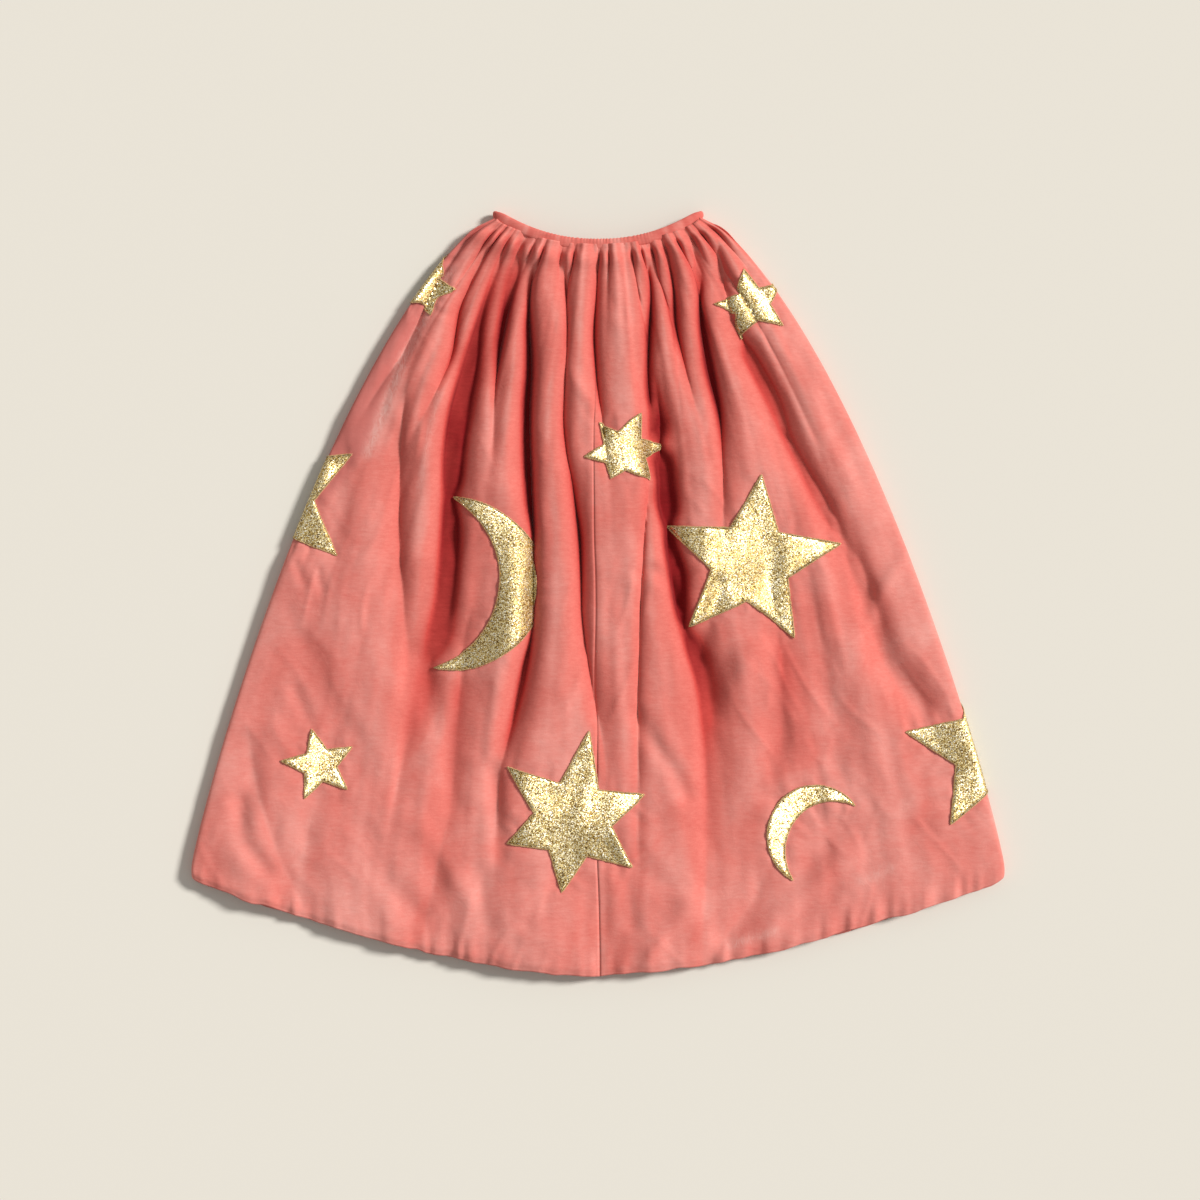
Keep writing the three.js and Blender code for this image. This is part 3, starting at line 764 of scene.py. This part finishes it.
# The label and the two halves of the closure.

details = {"labelThick": 0.5 * mm, "padThick": 1.1 * mm, "sunk": 0.55 * mm}


def rectangle(x, y, width, height):
    return [(x, y), (x + width, y), (x + width, y + height), (x, y + height)]


def boxOf(node):
    low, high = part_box(node)
    return rectangle(low.x, low.y, high.x - low.x, high.y - low.y)


labelOutline, hookOutline, loopOutline = boxOf("care_label"), boxOf("hook_pad"), boxOf("loop_pad")
careLabel = flatPiece("careLabel", labelOutline, False, -details["sunk"], details["labelThick"],
                      2.5 * mm, True)
hookPad = flatPiece("hookPad", hookOutline, True, -details["sunk"], details["padThick"], 2 * mm, True)
loopPad = flatPiece("loopPad", loopOutline, True, details["padThick"] + 0.05 * mm, details["padThick"],
                    2 * mm)
print("label and pads made")

# Stitches, placed by Geometry Nodes.

thread = {"satinPitch": 0.6 * mm, "satinLength": 1.8 * mm, "satinWidth": 0.5 * mm, "satinHeight": 0.45 * mm,
          "satinLift": 1.15 * mm, "seamPitch": 3.2 * mm, "seamLength": 2.4 * mm, "seamWidth": 0.45 * mm,
          "slant": 14}


def stitchTree():
    tree = bpy.data.node_groups.new("stitches", "GeometryNodeTree")
    face = tree.interface
    face.new_socket("Geometry", in_out="INPUT", socket_type="NodeSocketGeometry")
    face.new_socket("Stitch Length", in_out="INPUT", socket_type="NodeSocketFloat")
    face.new_socket("Stitch Width", in_out="INPUT", socket_type="NodeSocketFloat")
    face.new_socket("Stitch Height", in_out="INPUT", socket_type="NodeSocketFloat")
    face.new_socket("Unevenness", in_out="INPUT", socket_type="NodeSocketFloat")
    face.new_socket("Seed", in_out="INPUT", socket_type="NodeSocketInt")
    face.new_socket("Thread", in_out="INPUT", socket_type="NodeSocketMaterial")
    face.new_socket("Geometry", in_out="OUTPUT", socket_type="NodeSocketGeometry")
    nodes, links = tree.nodes, tree.links
    given = nodes.new("NodeGroupInput")
    result = nodes.new("NodeGroupOutput")
    ball = nodes.new("GeometryNodeMeshUVSphere")
    ball.inputs["Segments"].default_value = 6
    ball.inputs["Rings"].default_value = 4
    ball.inputs["Radius"].default_value = 0.5
    size = nodes.new("ShaderNodeCombineXYZ")
    links.new(given.outputs["Stitch Length"], size.inputs["X"])
    links.new(given.outputs["Stitch Width"], size.inputs["Y"])
    links.new(given.outputs["Stitch Height"], size.inputs["Z"])
    points = nodes.new("GeometryNodeMeshToPoints")
    links.new(given.outputs["Geometry"], points.inputs["Mesh"])
    turn = nodes.new("GeometryNodeInputNamedAttribute")
    turn.data_type = "FLOAT_VECTOR"
    turn.inputs["Name"].default_value = "turn"
    vary = nodes.new("FunctionNodeRandomValue")
    vary.data_type = "FLOAT"
    low = nodes.new("ShaderNodeMath")
    low.operation = "SUBTRACT"
    low.inputs[0].default_value = 1
    links.new(given.outputs["Unevenness"], low.inputs[1])
    high = nodes.new("ShaderNodeMath")
    high.operation = "ADD"
    high.inputs[0].default_value = 1
    links.new(given.outputs["Unevenness"], high.inputs[1])
    links.new(low.outputs[0], vary.inputs[2])
    links.new(high.outputs[0], vary.inputs[3])
    links.new(given.outputs["Seed"], vary.inputs["Seed"])
    scale = nodes.new("ShaderNodeVectorMath")
    scale.operation = "SCALE"
    links.new(size.outputs[0], scale.inputs[0])
    links.new(vary.outputs[1], scale.inputs["Scale"])
    place = nodes.new("GeometryNodeInstanceOnPoints")
    links.new(points.outputs["Points"], place.inputs["Points"])
    links.new(ball.outputs["Mesh"], place.inputs["Instance"])
    links.new(turn.outputs["Attribute"], place.inputs["Rotation"])
    links.new(scale.outputs[0], place.inputs["Scale"])
    real = nodes.new("GeometryNodeRealizeInstances")
    links.new(place.outputs["Instances"], real.inputs["Geometry"])
    paint = nodes.new("GeometryNodeSetMaterial")
    links.new(real.outputs["Geometry"], paint.inputs["Geometry"])
    links.new(given.outputs["Thread"], paint.inputs["Material"])
    links.new(paint.outputs["Geometry"], result.inputs["Geometry"])
    return tree


def socketId(tree, name):
    for item in tree.interface.items_tree:
        if item.name == name and item.in_out == "INPUT":
            return item.identifier


stitching = stitchTree()


def eulerOf(xAxis, zAxis):
    x = xAxis / np.linalg.norm(xAxis, axis=-1, keepdims=True)
    z = zAxis - x * np.sum(x * zAxis, -1, keepdims=True)
    z /= np.linalg.norm(z, axis=-1, keepdims=True) + 1e-12
    y = np.cross(z, x)
    pitch = -np.arcsin(np.clip(x[:, 2], -1, 1))
    roll = np.arctan2(y[:, 2], z[:, 2])
    yaw = np.arctan2(x[:, 1], x[:, 0])
    return np.stack([roll, pitch, yaw], -1)


def stitches(name, places, xAxis, zAxis, sizes, material, seed, unevenness=0.12):
    mesh = bpy.data.meshes.new(name + "Places")
    mesh.from_pydata(places.tolist(), [], [])
    turn = mesh.attributes.new("turn", "FLOAT_VECTOR", "POINT")
    turn.data.foreach_set("vector", eulerOf(xAxis, zAxis).astype(np.float32).ravel())
    guide = bpy.data.objects.new(name + "Guide", mesh)
    bpy.context.scene.collection.objects.link(guide)
    grower = guide.modifiers.new("stitches", "NODES")
    grower.node_group = stitching
    grower[socketId(stitching, "Stitch Length")] = sizes[0]
    grower[socketId(stitching, "Stitch Width")] = sizes[1]
    grower[socketId(stitching, "Stitch Height")] = sizes[2]
    grower[socketId(stitching, "Unevenness")] = unevenness
    grower[socketId(stitching, "Seed")] = seed
    grower[socketId(stitching, "Thread")] = material
    bpy.context.view_layer.update()
    ready = guide.evaluated_get(bpy.context.evaluated_depsgraph_get())
    grown = bpy.data.meshes.new_from_object(ready)
    grown.name = name
    bpy.data.objects.remove(guide)
    return linkPiece(name, grown)


def satinEdge(name, outline, front, material, seed):
    rim = np.array(resample(outline, thread["satinPitch"]))
    along = np.roll(rim, -1, 0) - np.roll(rim, 1, 0)
    along /= np.linalg.norm(along, axis=1, keepdims=True) + 1e-12
    out = np.stack([along[:, 1], -along[:, 0]], 1)
    slant = math.tan(math.radians(thread["slant"]))
    reach = (out + along * slant) * 0.4 * mm
    middle = onCloth(rim, front, thread["satinLift"])
    outer = onCloth(rim + reach, front, thread["satinLift"])
    crossing = outer - onCloth(rim - reach, front, thread["satinLift"])
    s, t = toCloth(rim, front)
    up = surfaceNormal(s, t)
    sizes = (thread["satinLength"], thread["satinWidth"], thread["satinHeight"])
    return stitches(name, middle, crossing, up, sizes, material, seed)


def inward(outline, gap):
    xs, ys = zip(*outline)
    midX, midY = (min(xs) + max(xs)) / 2, (min(ys) + max(ys)) / 2
    return [(x - math.copysign(gap, x - midX), y - math.copysign(gap, y - midY)) for x, y in outline]


def runningStitch(name, line, front, lift, material, seed, inner=False):
    rim = np.array(resample(line, thread["seamPitch"]))
    ahead = np.roll(rim, -1, 0) - np.roll(rim, 1, 0)
    ahead /= np.linalg.norm(ahead, axis=1, keepdims=True) + 1e-12
    step = ahead * 0.5 * mm
    middle = onCloth(rim, front, lift, inner)
    forward = onCloth(rim + step, front, lift, inner) - onCloth(rim - step, front, lift, inner)
    s, t = toCloth(rim, front)
    sizes = (thread["seamLength"], thread["seamWidth"], thread["seamWidth"])
    return stitches(name, middle, forward, surfaceNormal(s, t, inner), sizes, material, seed)

# Materials.


def newMaterial(name, rough, metallic=0.0, sheen=0.0, sheenRough=0.3, sheenTint=(1, 1, 1), specular=0.5):
    material = bpy.data.materials.new(name)
    material.use_nodes = True
    shader = material.node_tree.nodes["Principled BSDF"]
    shader.inputs["Roughness"].default_value = rough
    shader.inputs["Metallic"].default_value = metallic
    shader.inputs["Sheen Weight"].default_value = sheen
    shader.inputs["Sheen Roughness"].default_value = sheenRough
    shader.inputs["Sheen Tint"].default_value = (*sheenTint, 1)
    shader.inputs["Specular IOR Level"].default_value = specular
    return material, material.node_tree, shader


def noise(tree, scale, detail=3.0, rough=0.5, stretch=(1, 1, 1), distortion=0.0, output="Fac"):
    where = tree.nodes.new("ShaderNodeTexCoord")
    mapping = tree.nodes.new("ShaderNodeMapping")
    mapping.inputs["Scale"].default_value = stretch
    tree.links.new(where.outputs["Object"], mapping.inputs["Vector"])
    texture = tree.nodes.new("ShaderNodeTexNoise")
    texture.inputs["Scale"].default_value = scale
    texture.inputs["Detail"].default_value = detail
    texture.inputs["Roughness"].default_value = rough
    texture.inputs["Distortion"].default_value = distortion
    tree.links.new(mapping.outputs["Vector"], texture.inputs["Vector"])
    return texture.outputs[output]


def cells(tree, scale, output, spread=1.0):
    where = tree.nodes.new("ShaderNodeTexCoord")
    texture = tree.nodes.new("ShaderNodeTexVoronoi")
    texture.inputs["Scale"].default_value = scale
    texture.inputs["Randomness"].default_value = spread
    tree.links.new(where.outputs["Object"], texture.inputs["Vector"])
    return texture.outputs[output]


def ramp(tree, value, stops, kind="LINEAR"):
    node = tree.nodes.new("ShaderNodeValToRGB")
    node.color_ramp.interpolation = kind
    points = node.color_ramp.elements
    while len(points) < len(stops):
        points.new(0.5)
    for point, (place, color) in zip(points, stops):
        point.position = place
        point.color = (*color, 1)
    tree.links.new(value, node.inputs["Fac"])
    return node.outputs["Color"]


def mixColor(tree, how, factor, a, b):
    node = tree.nodes.new("ShaderNodeMix")
    node.data_type = "RGBA"
    node.blend_type = how
    for socket, value in ((node.inputs[0], factor), (node.inputs[6], a), (node.inputs[7], b)):
        if isinstance(value, (int, float)):
            socket.default_value = value
        elif isinstance(value, tuple):
            socket.default_value = (*value, 1)
        else:
            tree.links.new(value, socket)
    return node.outputs[2]


def combine(tree, how, a, b):
    node = tree.nodes.new("ShaderNodeMath")
    node.operation = how
    for socket, value in ((node.inputs[0], a), (node.inputs[1], b)):
        if isinstance(value, (int, float)):
            socket.default_value = value
        else:
            tree.links.new(value, socket)
    return node.outputs[0]


def between(tree, value, low, high, newLow, newHigh):
    node = tree.nodes.new("ShaderNodeMapRange")
    tree.links.new(value, node.inputs["Value"])
    node.inputs["From Min"].default_value = low
    node.inputs["From Max"].default_value = high
    node.inputs["To Min"].default_value = newLow
    node.inputs["To Max"].default_value = newHigh
    return node.outputs["Result"]


def attribute(tree, name):
    node = tree.nodes.new("ShaderNodeAttribute")
    node.attribute_name = name
    return node.outputs["Fac"]


def bump(tree, shader, height, strength, distance):
    node = tree.nodes.new("ShaderNodeBump")
    node.inputs["Strength"].default_value = strength
    node.inputs["Distance"].default_value = distance
    tree.links.new(height, node.inputs["Height"])
    tree.links.new(node.outputs["Normal"], shader.inputs["Normal"])


def bands(tree, scale, direction, distortion=0.0):
    where = tree.nodes.new("ShaderNodeTexCoord")
    texture = tree.nodes.new("ShaderNodeTexWave")
    texture.bands_direction = direction
    texture.inputs["Scale"].default_value = scale
    texture.inputs["Distortion"].default_value = distortion
    tree.links.new(where.outputs["Object"], texture.inputs["Vector"])
    return texture.outputs["Fac"]


# Velvet colours: the painted highlight on fold tops, the velvet's own pile colour, painted shade down steep
# sides, painted shade deep in the fold valleys, a darker tone for the upper left of the back, and crushed
# pile painted pale as the sheen it catches.
velvetLook = {"crest": (0.82, 0.355, 0.305), "pile": (0.725, 0.190, 0.155), "side": (0.56, 0.068, 0.056),
              "valleyShade": (0.22, 0.008, 0.010), "duskTone": (0.55, 0.155, 0.135), "crushedSheen": (0.88, 0.50, 0.44)}


def velvetMaterial():
    material, tree, shader = newMaterial("crushedVelvet", 0.85, 0, 0.22, 0.45, (1.0, 0.7, 0.64), 0.08)
    cloud = noise(tree, 17, 4, 0.55, (1, 0.7, 1), 0.5)
    shift = combine(tree, "MULTIPLY", combine(tree, "SUBTRACT", cloud, 0.5), 0.35)
    # The base colour follows the painted shade level, with cloudy variation: the painted highlight on fold
    # tops, the pile's own colour, then painted shade down steep sides and into the valleys.
    level = combine(tree, "ADD", attribute(tree, "paintedShade"), shift)
    color = ramp(tree, level, [(0.0, velvetLook["crest"]), (0.2, velvetLook["pile"]),
                               (0.6, velvetLook["side"]), (1.0, velvetLook["valleyShade"])])
    grain = noise(tree, 330, 6, 0.8, (0.3, 1.3, 1))
    tone = ramp(tree, grain, [(0.25, (0.28,) * 3), (0.78, (0.74,) * 3)])
    color = mixColor(tree, "SOFT_LIGHT", 0.6, color, tone)
    # Crushed pile painted pale as the sheen it catches, broken up by noise.
    scuff = noise(tree, 170, 6, 0.72, (1.5, 0.6, 1), 1.6)
    sheenStreaks = combine(tree, "MULTIPLY", attribute(tree, "crushedSheen"), between(tree, scuff, 0.3, 0.66, 0, 1))
    color = mixColor(tree, "MIX", sheenStreaks, color, velvetLook["crushedSheen"])
    # Darker tone over the upper left of the back.
    color = mixColor(tree, "MIX", attribute(tree, "dusk"), color, velvetLook["duskTone"])
    tree.links.new(color, shader.inputs["Base Color"])
    pile = noise(tree, 1500, 3, 0.65, (0.4, 1.3, 1))
    rumple = noise(tree, 75, 4, 0.6, (0.8, 1, 1), 0.8)
    fine = combine(tree, "MULTIPLY", pile, 0.45)
    height = combine(tree, "ADD", fine, combine(tree, "MULTIPLY", rumple, 1.4))
    bump(tree, shader, height, 0.5, 0.0006)
    return material


def liningMaterial():
    material, tree, shader = newMaterial("satinLining", 0.38, 0, 0.2, 0.3, (1, 0.7, 0.6), 0.5)
    cloud = noise(tree, 26, 3, 0.55, (1, 0.5, 1))
    color = ramp(tree, cloud, [(0.3, (0.50, 0.085, 0.07)), (0.75, (0.62, 0.14, 0.115))])
    weave = combine(tree, "ADD", bands(tree, 900, "X"), bands(tree, 620, "Y"))
    color = mixColor(tree, "SOFT_LIGHT", 0.3, color, ramp(tree, weave, [(0.3, (0.3,) * 3), (1, (0.75,) * 3)]))
    tree.links.new(color, shader.inputs["Base Color"])
    tree.links.new(between(tree, noise(tree, 60, 3), 0.3, 0.7, 0.32, 0.46), shader.inputs["Roughness"])
    bump(tree, shader, weave, 0.3, 0.0002)
    return material


glitter = {"flakes": 1450, "tilt": 0.3, "curl": 1.9}


def glitterMaterial():
    material, tree, shader = newMaterial("glitterFoil", 0.34, 0.72, 0, 0.3, (1, 1, 1), 0.8)
    flake = cells(tree, glitter["flakes"], "Color", 0.9)
    split = tree.nodes.new("ShaderNodeSeparateColor")
    tree.links.new(flake, split.inputs["Color"])
    gold = [(0.0, (0.13, 0.065, 0.012)), (0.14, (0.36, 0.21, 0.05)), (0.34, (0.62, 0.42, 0.13)),
            (0.56, (0.82, 0.65, 0.30)), (0.79, (0.94, 0.83, 0.53)), (0.93, (1.0, 0.96, 0.82))]
    color = ramp(tree, split.outputs["Red"], gold, "CONSTANT")
    # Large soft patches of painted sheen: the foil's colour is lightened in some patches and darkened in
    # others, as if they caught the light.
    patch = noise(tree, 55, 3, 0.6)
    shade = ramp(tree, patch, [(0.32, (0.46, 0.44, 0.38)), (0.68, (0.8, 0.8, 0.8))])
    color = mixColor(tree, "SOFT_LIGHT", 0.7, color, shade)
    tree.links.new(color, shader.inputs["Base Color"])
    tree.links.new(between(tree, split.outputs["Green"], 0, 1, 0.22, 0.62), shader.inputs["Roughness"])
    geometry = tree.nodes.new("ShaderNodeNewGeometry")
    centred = tree.nodes.new("ShaderNodeVectorMath")
    centred.operation = "SUBTRACT"
    centred.inputs[1].default_value = (0.5, 0.5, 0.5)
    tree.links.new(flake, centred.inputs[0])
    lean = tree.nodes.new("ShaderNodeVectorMath")
    lean.operation = "SCALE"
    lean.inputs["Scale"].default_value = glitter["tilt"]
    tree.links.new(centred.outputs[0], lean.inputs[0])
    wave = tree.nodes.new("ShaderNodeVectorMath")
    wave.operation = "MULTIPLY_ADD"
    tree.links.new(noise(tree, 16, 2, 0.5, (1, 0.4, 1), 0.8, "Color"), wave.inputs[0])
    wave.inputs[1].default_value = (glitter["curl"], glitter["curl"] * 0.6, 0)
    wave.inputs[2].default_value = (-0.42 * glitter["curl"], -0.28 * glitter["curl"], 0)
    bent = tree.nodes.new("ShaderNodeVectorMath")
    bent.operation = "ADD"
    tree.links.new(geometry.outputs["Normal"], bent.inputs[0])
    tree.links.new(wave.outputs[0], bent.inputs[1])
    total = tree.nodes.new("ShaderNodeVectorMath")
    total.operation = "ADD"
    tree.links.new(bent.outputs[0], total.inputs[0])
    tree.links.new(lean.outputs[0], total.inputs[1])
    unit = tree.nodes.new("ShaderNodeVectorMath")
    unit.operation = "NORMALIZE"
    tree.links.new(total.outputs[0], unit.inputs[0])
    tree.links.new(unit.outputs[0], shader.inputs["Normal"])
    return material


def threadMaterial(name, light, dark):
    material, tree, shader = newMaterial(name, 0.45, 0.0, 0.3, 0.3, light, 0.6)
    color = ramp(tree, noise(tree, 420, 3, 0.6), [(0.35, dark), (0.65, light)])
    tree.links.new(color, shader.inputs["Base Color"])
    bump(tree, shader, noise(tree, 3000, 2), 0.3, 0.0001)
    return material


def wovenMaterial(name, light, dark, across, down, rough):
    material, tree, shader = newMaterial(name, rough, 0, 0.25, 0.4, light, 0.3)
    weave = combine(tree, "MULTIPLY", bands(tree, across, "X", 0.4), bands(tree, down, "Y", 0.4))
    wear = ramp(tree, noise(tree, 90, 4, 0.6), [(0.3, dark), (0.7, light)])
    color = mixColor(tree, "SOFT_LIGHT", 0.4, wear, ramp(tree, weave, [(0, (0.3,) * 3), (1, (0.7,) * 3)]))
    tree.links.new(color, shader.inputs["Base Color"])
    bump(tree, shader, weave, 0.5, 0.0003)
    return material


def closureMaterial(name, light, dark, scale, hairy):
    material, tree, shader = newMaterial(name, 0.75, 0, 0.4 if hairy else 0.1, 0.4, light, 0.3)
    tips = cells(tree, scale, "Distance", 1.0 if hairy else 0.15)
    wear = ramp(tree, noise(tree, 160, 3), [(0.3, dark), (0.7, light)])
    color = mixColor(tree, "MULTIPLY", 0.6, wear, ramp(tree, tips, [(0.1, (1,) * 3), (0.75, (0.35,) * 3)]))
    tree.links.new(color, shader.inputs["Base Color"])
    bump(tree, shader, combine(tree, "SUBTRACT", 1.0, tips), 0.9, 0.0006)
    return material


looks = {
    "velvet": velvetMaterial(), "lining": liningMaterial(), "foil": glitterMaterial(),
    "gold": threadMaterial("goldThread", (0.80, 0.58, 0.27), (0.44, 0.27, 0.10)),
    "red": threadMaterial("redThread", (0.62, 0.15, 0.12), (0.40, 0.06, 0.05)),
    "elastic": wovenMaterial("elasticKnit", (0.74, 0.71, 0.66), (0.60, 0.57, 0.52), 500, 900, 0.7),
    "label": wovenMaterial("labelTape", (0.88, 0.87, 0.83), (0.78, 0.76, 0.71), 1300, 1300, 0.45),
    "hook": closureMaterial("hookTape", (0.36, 0.07, 0.06), (0.24, 0.04, 0.035), 720, False),
    "loop": closureMaterial("loopTape", (0.46, 0.09, 0.075), (0.28, 0.045, 0.04), 900, True),
}
print("materials made")

# Sewing, finishes, and the back body that the back's pieces ride on; other pieces keep their placement baked
# in.


def follow(piece, body):
    if body == "back":
        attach(piece, "back")
        return
    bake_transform(piece)


def paint(piece, look):
    if not piece.data.materials:
        piece.data.materials.append(looks[look])


def show(piece, look, body, nodes):
    paint(piece, look)
    follow(piece, body)
    if nodes:
        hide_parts(*nodes)


for word, side in (("Left", "left"), ("Right", "right")):
    pieces = {"Left": (velvetLeft, velvetLeftFront, liningLeft, liningLeftFront),
              "Right": (velvetRight, velvetRightFront, liningRight, liningRightFront)}[word]
    show(pieces[0], "velvet", "back", ["outer_" + side])
    show(pieces[1], "velvet", side + "_front", ["outer_" + side + "_front"])
    show(pieces[2], "lining", "back", ["lining_" + side])
    show(pieces[3], "lining", side + "_front", ["lining_" + side + "_front"])
show(neckbandBack, "velvet", "back", ["neckband_back"])
show(neckbandLeft, "velvet", "left_front", ["neckband_left"])
show(neckbandRight, "velvet", "right_front", ["neckband_right"])
show(neckElastic, "elastic", "back", ["neck_elastic"])
show(careLabel, "label", "back", ["care_label"])
show(hookPad, "hook", "left_front", ["hook_pad"])
show(loopPad, "loop", "right_front", ["loop_pad"])

edges = []
for number, (piece, node, outline, front) in enumerate(appliques):
    body = "back" if not front else ("left_front" if "left" in node else "right_front")
    edge = satinEdge(piece.name + "Edge", outline, front, looks["gold"], 40 + number)
    show(piece, "foil", body, [node])
    show(edge, "gold", body, [])
    edges.append(edge)
print("satin edges sewn")

labelSeam = runningStitch("labelSeam", inward(labelOutline, 1.5 * mm), False,
                          -details["sunk"] - details["labelThick"], looks["label"], 70, True)
hookSeam = runningStitch("hookSeam", inward(hookOutline, 1.5 * mm), True,
                         -details["sunk"] - details["padThick"], looks["red"], 71, True)
loopSeam = runningStitch("loopSeam", inward(loopOutline, 1.5 * mm), True,
                         details["padThick"] + 0.1 * mm, looks["red"], 72)
show(labelSeam, "label", "back", [])
show(hookSeam, "red", "left_front", [])
show(loopSeam, "red", "right_front", [])
print("pads and label sewn on")


# Each appliqué and its satin edge are listed under the velvet piece they lie on. Half the back covers 0.18
# square metres, 0.07 is turned under, and the folds take up an eighth more. A front is nearly flat.
onVelvet = {"left": [], "right": [], "leftFront": [], "rightFront": []}
for (piece, node, outline, front), edge in zip(appliques, edges):
    middle = sum(x for x, y in outline) / len(outline)
    key = ("left" if middle < 0 else "right") + ("Front" if front else "")
    onVelvet[key] += [piece, edge]

# Floor, light and camera.

studio = {"floor": (0.80, 0.765, 0.69), "reach": 3.2, "lens": 84, "eye": 2.55, "aim": (1.8 * mm, -6.8 * mm)}


def buildStage():
    mesh = bpy.data.meshes.new("floor")
    r = studio["reach"]
    mesh.from_pydata([(-r, -r, 0), (r, -r, 0), (r, r, 0), (-r, r, 0)], [], [(0, 1, 2, 3)])
    floor = bpy.data.objects.new("floor", mesh)
    bpy.context.scene.collection.objects.link(floor)
    paper = bpy.data.materials.new("backdrop")
    paper.use_nodes = True
    shader = paper.node_tree.nodes["Principled BSDF"]
    shader.inputs["Base Color"].default_value = (*studio["floor"], 1)
    shader.inputs["Roughness"].default_value = 0.95
    mesh.materials.append(paper)
    camera = bpy.data.cameras.new("camera")
    camera.lens = studio["lens"]
    camera.clip_end = 20
    eye = bpy.data.objects.new("camera", camera)
    eye.location = (studio["aim"][0], studio["aim"][1], studio["eye"])
    bpy.context.scene.collection.objects.link(eye)
    bpy.context.scene.camera = eye


def sunLight(name, towards, strength, softness, color=(1, 1, 1)):
    light = bpy.data.lights.new(name, "SUN")
    light.energy = strength
    light.angle = math.radians(softness)
    light.color = color
    lamp = bpy.data.objects.new(name, light)
    lamp.rotation_euler = (-Vector(towards)).to_track_quat("-Z", "Y").to_euler()
    bpy.context.scene.collection.objects.link(lamp)


buildStage()
bpy.context.scene.view_settings.view_transform = "Standard"
sunLight("key", (1.0, 0.42, 0.72), 3.75, 12, (1, 0.985, 0.96))
world = bpy.data.worlds.new("studio")
world.use_nodes = True
world.node_tree.nodes["Background"].inputs["Color"].default_value = (1, 0.98, 0.95, 1)
world.node_tree.nodes["Background"].inputs["Strength"].default_value = 0.36
bpy.context.scene.world = world
print("stage set")
